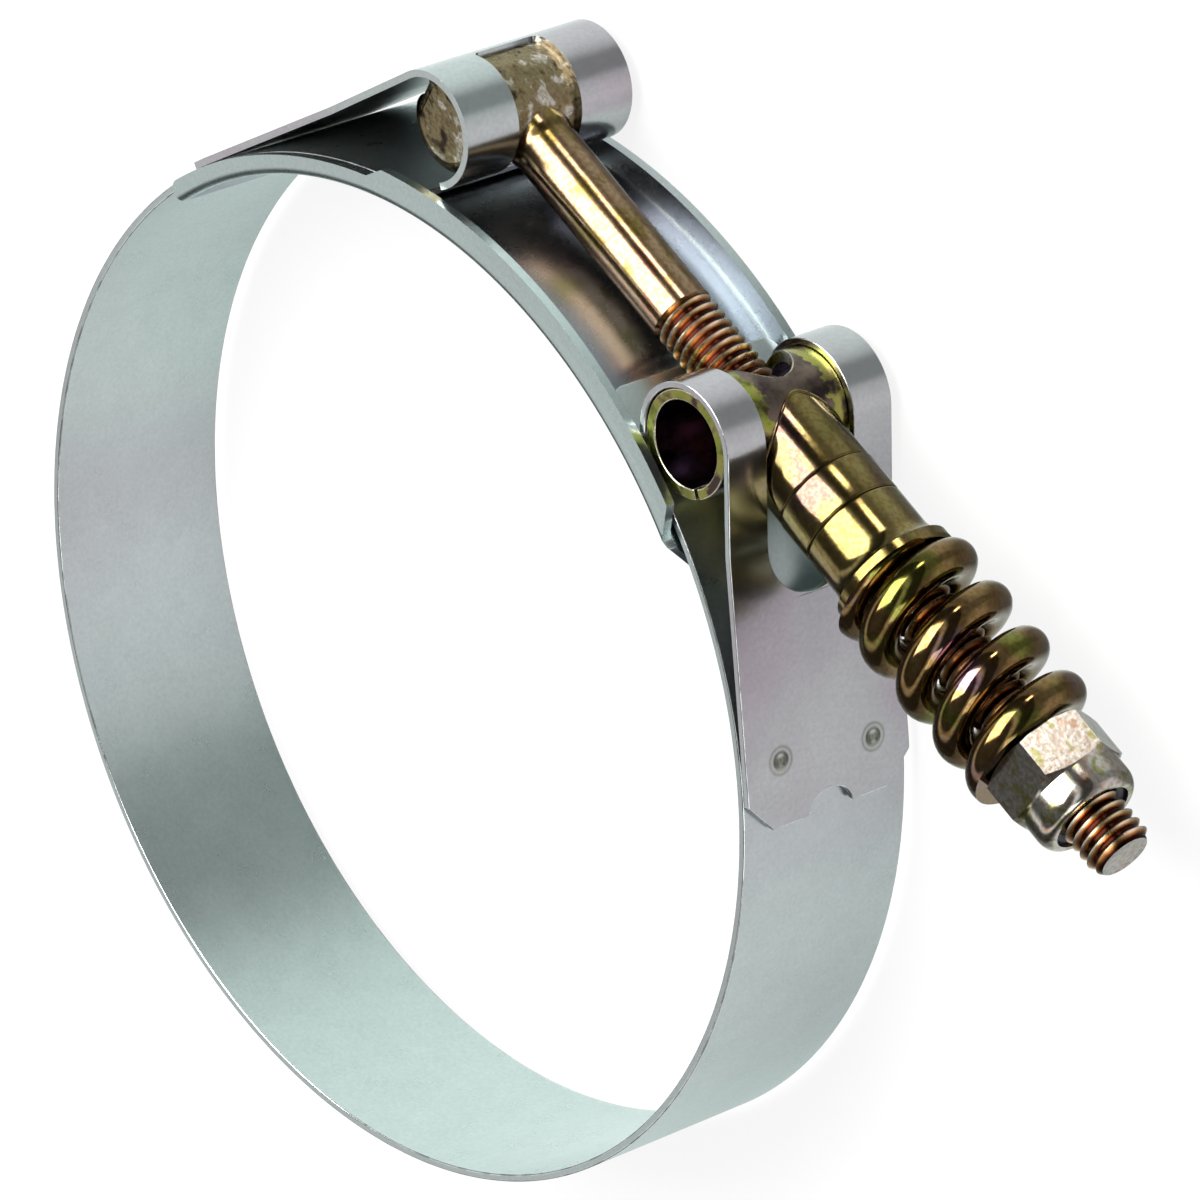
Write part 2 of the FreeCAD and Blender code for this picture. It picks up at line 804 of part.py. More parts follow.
WIRE_SIDES = 14
STEPS_A_TURN = 20
PITCH_BLEND = 0.2
wire = size("$spring_wire")
turns = size("$spring_turns")
closed = size("$spring_closed_turns")
coil_radius = size("$spring_radius - $spring_wire / 2")
coil_length = size("$spring_length")
ground = size("$spring_ground")
active_pitch = (coil_length + 2 * ground - 2 * closed * wire) / (turns - 2 * closed)
sections = [wire_section(n / STEPS_A_TURN) for n in range(round(turns * STEPS_A_TURN) + 1)]
faces = []
for ring, following in zip(sections, sections[1:]):
    for n in range(WIRE_SIDES):
        m = (n + 1) % WIRE_SIDES
        faces.append(triangle(ring[n], ring[m], following[n]))
        faces.append(triangle(ring[m], following[m], following[n]))
for ring in (sections[0], sections[-1]):
    middle = sum(ring, Vector(0, 0, 0)) / WIRE_SIDES
    for n in range(WIRE_SIDES):
        faces.append(triangle(ring[n], ring[(n + 1) % WIRE_SIDES], middle))
shell = Part.makeShell(faces)
shell.sewShape()
spring = document.addObject("Part::Feature", "spring")
spring.Label = "spring"
spring.Shape = Part.makeSolid(shell)
spring.Placement = Placement(Vector(size(SPRING_START), size("$bolt_height"), 0), Rotation())


# Lock nut: a hexagon cut from a turned blank, with a round collar that holds the insert
lock_nut = new_body("lock_nut")
lock_nut.setExpression("Placement.Base.y", bind("$bolt_height"))
CORNER = "$nut_across_flats / sqrt(3)"
INSERT_START = NUT_END + " - $nut_lip - $insert_length"
revolve(
    lock_nut,
    "blank",
    [
        (NUT_START, "$bolt_radius + $nut_gap + $nut_chamfer"),
        (NUT_START, CORNER + " - $nut_chamfer * 1.7"),
        (NUT_START + " + $nut_chamfer", CORNER),
        (NUT_HEX_END + " - $nut_chamfer", CORNER),
        (NUT_HEX_END, "$nut_collar_radius"),
        (NUT_END + " - $nut_collar_round", "$nut_collar_radius"),
        (NUT_END + " - $nut_collar_round * 0.3", "$nut_collar_radius - $nut_collar_round * 0.3"),
        (NUT_END, "$insert_radius + $pin_gap"),
        (INSERT_START, "$insert_radius + $pin_gap"),
        (INSERT_START, "$bolt_radius + $nut_gap"),
        (NUT_START + " + $nut_chamfer", "$bolt_radius + $nut_gap"),
    ],
)
flats = new_sketch(lock_nut, "hexagon", "YZ_Plane")
corner = size(CORNER)
hexagon = [polar(corner, 60 * n + size("$nut_turn")) for n in range(6)]
for start, stop in zip(hexagon, hexagon[1:] + hexagon[:1]):
    flats.addGeometry(Part.LineSegment(start, stop))
flats.addGeometry(Part.Circle(Vector(0, 0, 0), Vector(0, 0, 1), corner * 2))
cut(lock_nut, flats, "flats", "4 * $bolt_tip")

insert = sleeve(
    "nut_insert",
    [
        (INSERT_START + " + $joint_gap", "$bolt_radius + $nut_gap"),
        (INSERT_START + " + $joint_gap", "$insert_radius"),
        (NUT_END + " - $nut_lip", "$insert_radius"),
        (NUT_END + " - $nut_lip", "$bolt_radius + $nut_gap + $sleeve_edge"),
        (NUT_END + " - $nut_lip - $sleeve_edge", "$bolt_radius + $nut_gap"),
    ],
)


# Checks and files
document.recompute()
for item in document.Objects:
    if {"Invalid", "Error"} & set(item.State):
        raise RuntimeError(f"{item.Label}: {item.State}")
os.makedirs("parts", exist_ok=True)
bodies = [o for o in document.Objects if o.TypeId == "PartDesign::Body"]
for item in bodies + [spring]:
    if item.Shape.isNull() or not item.Shape.isValid():
        raise RuntimeError(f"{item.Label} has no valid shape")
    item.Shape.exportStep(os.path.join("parts", item.Label + ".step"))
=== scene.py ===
"""The looks of a spring-loaded T-bolt clamp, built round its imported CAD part.

All lengths are metres in the CAD part's own frame: the ring's axis is Z, the ring's
centre is the origin and the bolt runs along +X on the +Y side.
"""

import logging
import math
from dataclasses import dataclass, field
from enum import Enum
from functools import cached_property
from typing import Iterable, Sequence

import bmesh
import bpy
from mathutils import Matrix, Vector


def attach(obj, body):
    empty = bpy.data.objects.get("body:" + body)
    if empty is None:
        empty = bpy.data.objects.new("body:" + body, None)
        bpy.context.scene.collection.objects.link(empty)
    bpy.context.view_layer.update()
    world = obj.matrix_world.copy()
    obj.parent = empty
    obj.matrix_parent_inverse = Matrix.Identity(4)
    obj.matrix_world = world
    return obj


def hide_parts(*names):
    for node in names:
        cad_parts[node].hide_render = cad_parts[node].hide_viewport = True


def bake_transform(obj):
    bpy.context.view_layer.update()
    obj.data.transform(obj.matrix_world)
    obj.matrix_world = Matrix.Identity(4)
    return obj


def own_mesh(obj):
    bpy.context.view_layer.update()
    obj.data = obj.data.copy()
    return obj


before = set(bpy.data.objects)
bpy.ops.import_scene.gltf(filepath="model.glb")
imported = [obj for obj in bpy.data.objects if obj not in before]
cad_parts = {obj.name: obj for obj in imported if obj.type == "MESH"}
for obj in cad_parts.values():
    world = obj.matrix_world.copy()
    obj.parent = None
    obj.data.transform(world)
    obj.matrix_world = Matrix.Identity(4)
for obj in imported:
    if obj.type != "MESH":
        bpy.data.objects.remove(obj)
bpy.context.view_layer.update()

log = logging.getLogger("t_bolt_clamp")

Colour = tuple[float, float, float]
Profile = list[tuple[float, float]]
Run = list[tuple[Vector, Vector]]
Socket = bpy.types.NodeSocket

WHITE: Colour = (1.0, 1.0, 1.0)
BLACK: Colour = (0.0, 0.0, 0.0)

# Driving sizes, the same as in the CAD part

MM = 0.001
BAND_WIDTH = 19.05 * MM
BAND_RADIUS = 48.5 * MM
WELD_GAP = 0.08 * MM
BOLT_HEIGHT = 50.75 * MM
HEAD_X = -21.04 * MM
HEAD_RADIUS = 4.68 * MM
TRUNNION_X = 17.55 * MM
TUBE_RADIUS = 5.0 * MM


class Body(str, Enum):
    """The rigid bodies of the CAD part that visible pieces ride on."""

    BAND_SIDE = "band_side"
    BAND_END = "band_end"
    BOLT = "t_bolt_body"
    TRUNNION = "trunnion_body"
    SPRING = "spring_body"
    NUT = "nut_body"


class Slot(str, Enum):
    """Material slots of the record."""

    BAND = "band_steel"
    STRAP = "strap_steel"
    ZINC = "yellow_zinc"
    SPRING = "spring_zinc"
    NUT = "nut_zinc"
    PLASTIC = "insert_plastic"


# Sizes


@dataclass(frozen=True)
class RingSizes:
    """The band and the bridge, in metres and degrees round the ring."""

    width: float = BAND_WIDTH
    outer_radius: float = BAND_RADIUS
    thickness: float = 0.7 * MM
    end_bolt_side: float = 113.0
    end_nut_side: float = 80.4
    corner: float = 1.5 * MM
    bridge_gap: float = 0.4 * MM
    bridge_side_gap: float = 0.3 * MM
    bridge_thickness: float = 0.9 * MM
    bridge_bend: float = 0.9 * MM
    bridge_start: float = 155.2
    bridge_end: float = 62.6
    bridge_corner: float = 1.0 * MM
    tongue_half: float = 8.0 * MM
    tongue_end: float = 44.0
    tongue_corner: float = 3.0 * MM
    tongue_shoulder: float = 2.4 * MM
    flange_rise: float = 1.1 * MM
    low_flange_drop: float = 1.15 * MM
    flange_step: float = 120.0
    flange_step_slant: float = 2.4
    flange_end_slant: float = 4.1

    @property
    def bridge_inner(self) -> float:
        """Radius of the bridge's inner face."""
        return self.outer_radius - self.thickness - self.bridge_gap - self.bridge_thickness

    @property
    def bridge_side(self) -> float:
        """Distance of the bridge's outer sides from the middle plane."""
        return self.width / 2 + self.bridge_side_gap + self.bridge_thickness

    @property
    def flange_top(self) -> float:
        """Radius that the high flanges reach."""
        return self.outer_radius + self.flange_rise

    @property
    def low_flange_top(self) -> float:
        """Radius that the low flanges reach."""
        return self.flange_top - self.low_flange_drop


@dataclass(frozen=True)
class StrapSizes:
    """One strap. Its leaf is drawn on the +X side, and side is -1 for a mirrored one.

    The welds are given by their angles round the ring and their Z.
    """

    side: int
    pin_x: float
    pin_radius: float
    end: float
    departure: float
    straight: float
    hook: float
    slot_half: float
    slot_reach: float
    welds: tuple[tuple[float, float], ...]
    ring_inner: float = BAND_RADIUS + WELD_GAP
    pin_y: float = BOLT_HEIGHT
    pin_gap: float = 0.07 * MM
    thickness: float = 0.65 * MM
    half_width: float = BAND_WIDTH / 2
    bend: float = 9.0 * MM
    chamfer: float = 2.8 * MM
    notch_radius: float = 2.8 * MM
    notch_depth: float = 2.0 * MM
    slot_rear: float = 3.3 * MM
    slot_corner: float = 0.8 * MM


BOLT_STRAP = StrapSizes(
    side=-1,
    pin_x=-HEAD_X,
    pin_radius=HEAD_RADIUS,
    end=25.0,
    departure=31.0,
    straight=20.0 * MM,
    hook=222.0,
    slot_half=3.65 * MM,
    slot_reach=0.0,
    welds=((33.2, 5.5 * MM), (31.6, -5.3 * MM)),
)
NUT_STRAP = StrapSizes(
    side=1,
    pin_x=TRUNNION_X,
    pin_radius=TUBE_RADIUS,
    end=31.0,
    departure=36.5,
    straight=21.0 * MM,
    hook=216.0,
    slot_half=5.05 * MM,
    slot_reach=20.6 * MM,
    welds=((38.2, 5.5 * MM), (37.0, -5.3 * MM)),
)


@dataclass(frozen=True)
class AxleSizes:
    """What all the pieces on the bolt share."""

    height: float = BOLT_HEIGHT
    radius: float = 2.95 * MM
    thread_gap: float = 0.08 * MM


@dataclass(frozen=True)
class BoltSizes(AxleSizes):
    """The T-bolt, as places along X and radii."""

    head_x: float = HEAD_X
    head_radius: float = HEAD_RADIUS
    head_half: float = 7.5 * MM
    head_back: float = 4.1 * MM
    head_back_round: float = 0.5 * MM
    head_edge: float = 1.2 * MM
    neck_radius: float = 3.15 * MM
    neck_length: float = 1.2 * MM
    neck_lead: float = 0.2 * MM
    thread_start: float = 5.1 * MM
    thread_depth: float = 0.5 * MM
    thread_crest_round: float = 0.04 * MM
    thread_runout: float = 0.35 * MM
    pitch: float = 1.0 * MM
    tip: float = 69.3 * MM
    tip_chamfer: float = 0.7 * MM
    tip_slope: float = 0.9
    face_inset: float = 0.63 * MM
    face_depth: float = 1.2 * MM
    face_rim: float = 0.15 * MM
    face_hollow: float = 0.06 * MM


@dataclass(frozen=True)
class TrunnionSizes(AxleSizes):
    """The rolled barrel, its spout and the two loose sleeves, as places along X and radii."""

    x: float = TRUNNION_X
    barrel_radius: float = TUBE_RADIUS
    barrel_wall: float = 1.05 * MM
    barrel_half: float = 9.3 * MM
    barrel_seam: float = 0.5 * MM
    barrel_seam_angle: float = -42.0
    mouth_radius: float = 3.75 * MM
    mouth_reach: float = 5.2 * MM
    mouth_length: float = 7.5 * MM
    bore: float = 3.35 * MM
    spout_radius: float = 4.8 * MM
    spout_root: float = 1.6 * MM
    spout_end: float = 26.5 * MM
    spout_round: float = 0.25 * MM
    bead_length: float = 0.22 * MM
    bead_height: float = 0.14 * MM
    spacer: tuple[float, float] = (26.55 * MM, 30.55 * MM)
    sleeve_radius: float = 4.9 * MM
    sleeve_round: float = 0.22 * MM
    seat: tuple[float, float] = (30.6 * MM, 37.3 * MM)
    seat_rim: float = 5.8 * MM
    seat_rim_length: float = 1.1 * MM
    seat_rim_edge: float = 0.3 * MM
    seat_flare: float = 1.8 * MM


@dataclass(frozen=True)
class SpringSizes(AxleSizes):
    """The coil between the seat and the nut. Its closed and last turns are counted in turns."""

    start: float = 37.35 * MM
    length: float = 19.75 * MM
    wire: float = 3.55 * MM
    outer_radius: float = 6.7 * MM
    turns: float = 4.95
    closed: float = 1.0
    ground: float = 1.5 * MM
    last_turn: float = 4.7
    keep: float = 0.77


@dataclass(frozen=True)
class NutSizes(AxleSizes):
    """The lock nut and the ring inside it, as places along X and radii."""

    start: float = 57.15 * MM
    hex_end: float = 61.75 * MM
    end: float = 64.85 * MM
    flats: float = 10.0 * MM
    turn: float = -9.5
    lead_in: float = 0.4 * MM
    lead_radius: float = 0.5 * MM
    face_inset: float = 0.8 * MM
    face_edge: tuple[float, float] = (0.03 * MM, 0.15 * MM)
    collar_radius: float = 4.9 * MM
    collar_rise: tuple[float, float] = (0.1 * MM, 0.3 * MM)
    collar_round: float = 1.5 * MM
    collar_squash: float = 0.66
    lip: tuple[float, float] = (0.05 * MM, 0.1 * MM)
    insert: tuple[float, float] = (62.5 * MM, 64.35 * MM)
    insert_radius: float = 3.8 * MM
    insert_gap: float = 0.03 * MM
    insert_bite: float = 0.2 * MM
    insert_crown: tuple[float, float] = (0.1 * MM, 0.4 * MM)


# Mesh helpers


def polar(radius: float, degrees: float, centre: Vector = Vector((0, 0))) -> Vector:
    """A point in the ring's plane.

    Args:
        radius: Distance from the centre.
        degrees: Angle counted from +X.
        centre: The point that the radius starts from.
    Returns:
        The point as a 2-D vector.
    """
    angle = math.radians(degrees)
    return centre + Vector((radius * math.cos(angle), radius * math.sin(angle)))


def arc_run(centre: Vector, radius: float, start: float, stop: float, steps: int) -> Run:
    """Goes along an arc in the ring's plane, without its first point.

    Args:
        centre: The arc's centre.
        radius: Its radius, negative where the normals point at the centre.
        start: Angle in degrees where it starts.
        stop: Angle in degrees where it stops.
        steps: Number of points.
    Returns:
        Points and outward normals.
    """
    angles = [start + (stop - start) * n / steps for n in range(1, steps + 1)]
    return [(polar(radius, angle, centre), polar(1, angle)) for angle in angles]


def line_run(start: Vector, stop: Vector, normal: Vector, steps: int) -> Run:
    """Goes along a straight line in the ring's plane, without its first point.

    Args:
        start: Where it starts.
        stop: Where it stops.
        normal: The outward normal.
        steps: Number of points.
    Returns:
        Points and outward normals.
    """
    return [(start.lerp(stop, n / steps), normal) for n in range(1, steps + 1)]


def finish_mesh(
    mesh: bmesh.types.BMesh, name: str, sharp_angle: float = 32.0
) -> bpy.types.Object:
    """Merges, orients and shades a mesh and puts it in the scene.

    Args:
        mesh: The mesh, which is freed.
        name: Name of the new object.
        sharp_angle: Edges that turn more than this many degrees stay sharp.
    Returns:
        The new object at the origin.
    """
    bmesh.ops.remove_doubles(mesh, verts=mesh.verts, dist=1e-7)
    bmesh.ops.dissolve_degenerate(mesh, edges=mesh.edges, dist=1e-8)
    bmesh.ops.recalc_face_normals(mesh, faces=mesh.faces)
    for face in mesh.faces:
        face.smooth = True
    limit = math.radians(sharp_angle)
    for edge in mesh.edges:
        if len(edge.link_faces) == 2 and edge.calc_face_angle() > limit:
            edge.smooth = False
    data = bpy.data.meshes.new(name)
    mesh.to_mesh(data)
    mesh.free()
    obj = bpy.data.objects.new(name, data)
    bpy.context.scene.collection.objects.link(obj)
    return obj


def bevel(obj: bpy.types.Object, width: float, segments: int = 2, angle: float = 35.0) -> None:
    """Rounds an object's sharp edges a little and gives the rounding its last material.

    Args:
        obj: The object that gets the modifier.
        width: Width of the rounding.
        segments: Faces across the rounding.
        angle: Edges that turn less than this many degrees are left alone.
    """
    modifier = obj.modifiers.new("rounded_edges", "BEVEL")
    modifier.width = width
    modifier.segments = segments
    modifier.limit_method = "ANGLE"
    modifier.angle_limit = math.radians(angle)
    modifier.harden_normals = True
    # The rounding takes the last material, which is the bright edge colour: a painted highlight.
    modifier.material = len(obj.data.materials) - 1


def lathe(
    name: str, profile: Profile, height: float, steps: int = 96, turn: float = 0.0
) -> bpy.types.Object:
    """Turns a closed profile about the bolt's axis.

    Args:
        name: Name of the new object.
        profile: Pairs of place along X and radius.
        height: The axis's Y.
        steps: Faces round the axis.
        turn: Angle in degrees that the seam of the mesh is turned by.
    Returns:
        The new object.
    """
    mesh = bmesh.new()
    start = math.radians(turn)
    points = [
        mesh.verts.new((x, height + r * math.cos(start), r * math.sin(start)))
        for x, r in profile
    ]
    edges = [
        mesh.edges.new((one, two)) for one, two in zip(points, points[1:] + points[:1])
    ]
    bmesh.ops.spin(
        mesh,
        geom=points + edges,
        cent=(0, height, 0),
        axis=(1, 0, 0),
        angle=2 * math.pi,
        steps=steps,
        use_merge=True,
    )
    return finish_mesh(mesh, name)


def rounded(profile: Profile, radius: float, corners: Iterable[int], parts: int = 4) -> Profile:
    """Rounds some corners of a closed profile.

    Args:
        profile: The corners.
        radius: How far along both sides a rounding starts.
        corners: Indexes of the corners to round.
        parts: Pieces that each rounding is made of.
    Returns:
        The new profile.
    """
    chosen = set(corners)
    out: Profile = []
    for n, point in enumerate(profile):
        here = Vector(point)
        if n not in chosen:
            out.append(point)
            continue
        before, after = Vector(profile[n - 1]), Vector(profile[(n + 1) % len(profile)])
        one = here + (before - here).normalized() * min(radius, (before - here).length / 2)
        two = here + (after - here).normalized() * min(radius, (after - here).length / 2)
        for step in range(parts + 1):
            t = step / parts
            mixed = one * (1 - t) ** 2 + here * (2 * t * (1 - t)) + two * t * t
            out.append((mixed.x, mixed.y))
    return out


@dataclass
class Station:
    """One place along a bent strip: its inner point, its outward direction and its edges."""

    point: Vector
    normal: Vector
    half: float
    hole: float = 0.0


class Strip:
    """Sheet metal bent along a path, the same on both sides of the ring's middle plane.

    Each station gives how wide the strip is there and how wide a slot in its middle is.
    """

    def __init__(self, stations: Sequence[Station], thickness: float, rows: int = 4) -> None:
        """Keeps the stations.

        Args:
            stations: Places along the path, in order.
            thickness: The sheet's thickness, added along each normal.
            rows: Faces across each half of the strip.
        """
        self.stations = stations
        self.thickness = thickness
        self.rows = rows

    def place(self, station: Station, across: float, lift: float) -> Vector:
        """Where a point of the flat sheet comes to lie.

        Args:
            station: The station along the path.
            across: Signed distance from the middle plane.
            lift: Distance from the inner face.
        Returns:
            The point in space.
        """
        flat = station.point + station.normal * lift
        return Vector((flat.x, flat.y, across))

    def widths(self, station: Station) -> list[float]:
        """Distances from the middle plane at which the strip has points.

        Args:
            station: The station along the path.
        Returns:
            One distance for each row of points.
        """
        step = (station.half - station.hole) / self.rows
        return [station.hole + step * n for n in range(self.rows + 1)]

    def build(self, name: str) -> bpy.types.Object:
        """Bends two flat grids along the path, joins them and gives them the thickness.

        Args:
            name: Name of the new object.
        Returns:
            The new object.
        """
        mesh = bmesh.new()
        where = mesh.verts.layers.int.new("station")
        across = mesh.verts.layers.float.new("across")
        columns = len(self.stations) - 1
        rows = len(self.widths(self.stations[0])) - 1
        for side in (-1, 1):
            grid = bmesh.ops.create_grid(mesh, x_segments=columns, y_segments=rows, size=0.5)
            for vertex in grid["verts"]:
                number = round((vertex.co.x + 0.5) * columns)
                row = round((vertex.co.y + 0.5) * rows)
                station = self.stations[number]
                vertex[where] = number
                vertex[across] = side * self.widths(station)[row]
                vertex.co = self.place(station, vertex[across], 0.0)
        bmesh.ops.remove_doubles(mesh, verts=mesh.verts, dist=1e-7)
        sheet = bmesh.ops.extrude_face_region(mesh, geom=mesh.faces[:])
        for vertex in sheet["geom"]:
            if isinstance(vertex, bmesh.types.BMVert):
                station = self.stations[vertex[where]]
                vertex.co = self.place(station, vertex[across], self.thickness)
        return finish_mesh(mesh, name)


class Channel(Strip):
    """A strip whose sides are bent up, for the bridge."""

    def __init__(
        self, stations: Sequence[Station], thickness: float, wall: float, bend: float
    ) -> None:
        """Keeps the stations and where the sides turn up.

        Args:
            stations: Places along the path. half counts along the bent section.
            thickness: The sheet's thickness.
            wall: Distance of the side's outer face from the middle plane.
            bend: Outer radius of the bend.
        """
        super().__init__(stations, thickness)
        self.wall = wall
        self.bend = bend

    def widths(self, station: Station) -> list[float]:
        """Points across the floor, round the bend and up the side, as far as the sheet goes.

        Args:
            station: The station along the path.
        Returns:
            One distance along the section for each row of points.
        """
        floor = self.wall - self.bend
        curve = self.bend * math.pi / 2
        marks = [floor * n / 4 for n in range(5)]
        marks += [floor + curve * n / 6 for n in range(1, 7)]
        marks += [floor + curve + (station.half - floor - curve) * n / 2 for n in (1, 2)]
        return [min(mark, station.half) if mark < floor + curve or station.half < floor + curve
                else mark for mark in marks]

    def place(self, station: Station, across: float, lift: float) -> Vector:
        """Where a point of the section comes to lie.

        Args:
            station: The station along the path.
            across: Signed distance along the section.
            lift: Distance from the outer face of the bend's inside.
        Returns:
            The point in space.
        """
        side = math.copysign(1, across)
        far = abs(across)
        floor = self.wall - self.bend
        curve = self.bend * math.pi / 2
        if far <= floor:
            z, up = far, lift
        elif far <= floor + curve:
            angle = (far - floor) / self.bend
            arm = self.bend - min(lift, self.bend * 0.999)
            z, up = floor + arm * math.sin(angle), self.bend - arm * math.cos(angle)
        else:
            z, up = self.wall - lift, self.bend + far - floor - curve
        flat = station.point + station.normal * up
        return Vector((flat.x, flat.y, side * z))


# Finishes


def grey(level: float) -> Colour:
    """The neutral colour of a level."""
    return (level, level, level)


class Tree:
    """Short-hands for adding nodes to the tree of a material or the world."""

    def __init__(self, tree: bpy.types.NodeTree) -> None:
        """Keeps the tree."""
        self.tree = tree

    def node(self, kind: str, **values: object) -> bpy.types.Node:
        """Adds a node and sets its properties or its sockets' values.

        Args:
            kind: The node's type name.
            **values: Property or input names, with underscores for spaces.
        Returns:
            The new node.
        """
        made = self.tree.nodes.new(kind)
        for key, value in values.items():
            if hasattr(made, key):
                setattr(made, key, value)
            else:
                made.inputs[key.replace("_", " ")].default_value = value
        return made

    def link(self, output: Socket, socket: Socket) -> None:
        """Connects two sockets.

        Args:
            output: The socket that gives the value.
            socket: The input that takes it.
        """
        self.tree.links.new(output, socket)

    def ramp(self, value: Socket, stops: Sequence[tuple[float, Colour]]) -> Socket:
        """A colour ramp over a value.

        Args:
            value: The value, between 0 and 1.
            stops: Pairs of place and colour.
        Returns:
            The colour.
        """
        made = self.node("ShaderNodeValToRGB")
        elements = made.color_ramp.elements
        while len(elements) < len(stops):
            elements.new(0.5)
        for element, (place, colour) in zip(elements, stops):
            element.position = place
            element.color = (*colour, 1)
        self.link(value, made.inputs["Fac"])
        return made.outputs["Color"]

    def mix(self, amount: Socket | float, one: Socket, two: Socket, mode: str = "MIX") -> Socket:
        """Mixes two colours by an amount.

        Args:
            amount: Share of the second colour.
            one: The first colour.
            two: The second colour.
            mode: How they mix.
        Returns:
            The mixed colour.
        """
        made = self.node("ShaderNodeMix", data_type="RGBA", blend_type=mode)
        if isinstance(amount, Socket):
            self.link(amount, made.inputs[0])
        else:
            made.inputs[0].default_value = amount
        self.link(one, made.inputs[6])
        self.link(two, made.inputs[7])
        return made.outputs[2]

    def times(self, one: Socket, two: Socket) -> Socket:
        """The product of two colours."""
        return self.mix(1.0, one, two, "MULTIPLY")

    def blend(self, amount: Socket, one: Socket, two: Socket) -> Socket:
        """Mixes two shaders by an amount.

        Args:
            amount: Share of the second shader.
            one: The first shader.
            two: The second shader.
        Returns:
            The mixed shader.
        """
        made = self.node("ShaderNodeMixShader")
        for place, socket in enumerate((amount, one, two)):
            self.link(socket, made.inputs[place])
        return made.outputs[0]

    def spread(
        self, value: Socket, low: float, high: float, start: float = 0.3, stop: float = 0.7
    ) -> Socket:
        """Maps a value onto a range.

        Args:
            value: The value.
            low: The result where the value is at its start.
            high: The result where the value is at its stop.
            start: Where the mapping starts.
            stop: Where it stops.
        Returns:
            The mapped value.
        """
        made = self.node("ShaderNodeMapRange")
        for name, number in (
            ("From Min", start), ("From Max", stop), ("To Min", low), ("To Max", high)
        ):
            made.inputs[name].default_value = number
        self.link(value, made.inputs["Value"])
        return made.outputs["Result"]

    def total(self, *values: Socket) -> Socket:
        """The sum of some values, held between zero and one.

        Args:
            *values: The values.
        Returns:
            Their sum.
        """
        result = values[0]
        for value in values[1:]:
            adder = self.node("ShaderNodeMath", operation="ADD", use_clamp=True)
            self.link(result, adder.inputs[0])
            self.link(value, adder.inputs[1])
            result = adder.outputs[0]
        return result

    def scaled(self, value: Socket, factor: float) -> Socket:
        """A value times a number.

        Args:
            value: The value.
            factor: The number.
        Returns:
            The product.
        """
        made = self.node("ShaderNodeMath", operation="MULTIPLY")
        self.link(value, made.inputs[0])
        made.inputs[1].default_value = factor
        return made.outputs[0]


class Nodes(Tree):
    """Short-hands for building one material with a principled shader."""

    def __init__(self, name: str) -> None:
        """Starts the material.

        Args:
            name: Name of the material.
        """
        self.material = bpy.data.materials.new(name)
        self.material.use_nodes = True
        super().__init__(self.material.node_tree)
        self.shader = self.tree.nodes["Principled BSDF"]

    @cached_property
    def position(self) -> Socket:
        """Object coordinates."""
        return self.node("ShaderNodeTexCoord").outputs["Object"]

    def stretched(self, scale: tuple[float, float, float]) -> Socket:
        """Object coordinates, stretched along the axes.

        Args:
            scale: Factor along each axis.
        Returns:
            The stretched coordinates.
        """
        mapping = self.node("ShaderNodeMapping")
        mapping.inputs["Scale"].default_value = scale
        self.link(self.position, mapping.inputs["Vector"])
        return mapping.outputs["Vector"]

    def noise(
        self, scale: float, detail: float = 3.0, stretch: tuple[float, float, float] = (1, 1, 1)
    ) -> Socket:
        """A noise value in object coordinates.

        Args:
            scale: Size of the noise, in cells to the metre.
            detail: How many finer layers it has.
            stretch: Factor on the coordinates along each axis.
        Returns:
            The noise.
        """
        made = self.node("ShaderNodeTexNoise")
        made.inputs["Scale"].default_value = scale
        made.inputs["Detail"].default_value = detail
        self.link(self.stretched(stretch), made.inputs["Vector"])
        return made.outputs["Fac"]

    def radius(
        self, centre: tuple[float, float, float], keep: tuple[float, float, float]
    ) -> Socket:
        """Distance from a line through a point, along the axis whose share is zero.

        Args:
            centre: The point.
            keep: Share of each axis in the distance.
        Returns:
            The distance.
        """
        away = self.node("ShaderNodeVectorMath", operation="SUBTRACT")
        self.link(self.position, away.inputs[0])
        away.inputs[1].default_value = centre
        flat = self.node("ShaderNodeVectorMath", operation="MULTIPLY")
        self.link(away.outputs["Vector"], flat.inputs[0])
        flat.inputs[1].default_value = keep
        length = self.node("ShaderNodeVectorMath", operation="LENGTH")
        self.link(flat.outputs["Vector"], length.inputs[0])
        return length.outputs["Value"]

    def near(self, point: Vector, radius: float) -> Socket:
        """One at a point, falling to nothing at a radius.

        Args:
            point: The point.
            radius: Where it has fallen to nothing.
        Returns:
            The value.
        """
        distance = self.node("ShaderNodeVectorMath", operation="DISTANCE")
        self.link(self.position, distance.inputs[0])
        distance.inputs[1].default_value = point
        return self.spread(distance.outputs["Value"], 1.0, 0.0, 0.0, radius)

    def bump(
        self, height: Socket, strength: float, distance: float, under: Socket | None = None
    ) -> Socket:
        """Bumps the surface by a height, over another bump if one is given.

        Args:
            height: The height.
            strength: How strongly it shows.
            distance: How tall a height of one is.
            under: The bump below it.
        Returns:
            The bumped normal.
        """
        made = self.node("ShaderNodeBump")
        made.inputs["Strength"].default_value = strength
        made.inputs["Distance"].default_value = distance
        self.link(height, made.inputs["Height"])
        if under is not None:
            self.link(under, made.inputs["Normal"])
        return made.outputs["Normal"]

    def set(self, **sockets: object) -> None:
        """Links or sets the shader's inputs.

        Args:
            **sockets: Input names, with underscores for spaces, and what goes in.
        """
        for key, value in sockets.items():
            socket = self.shader.inputs[key.replace("_", " ")]
            if isinstance(value, Socket):
                self.link(value, socket)
            else:
                socket.default_value = value


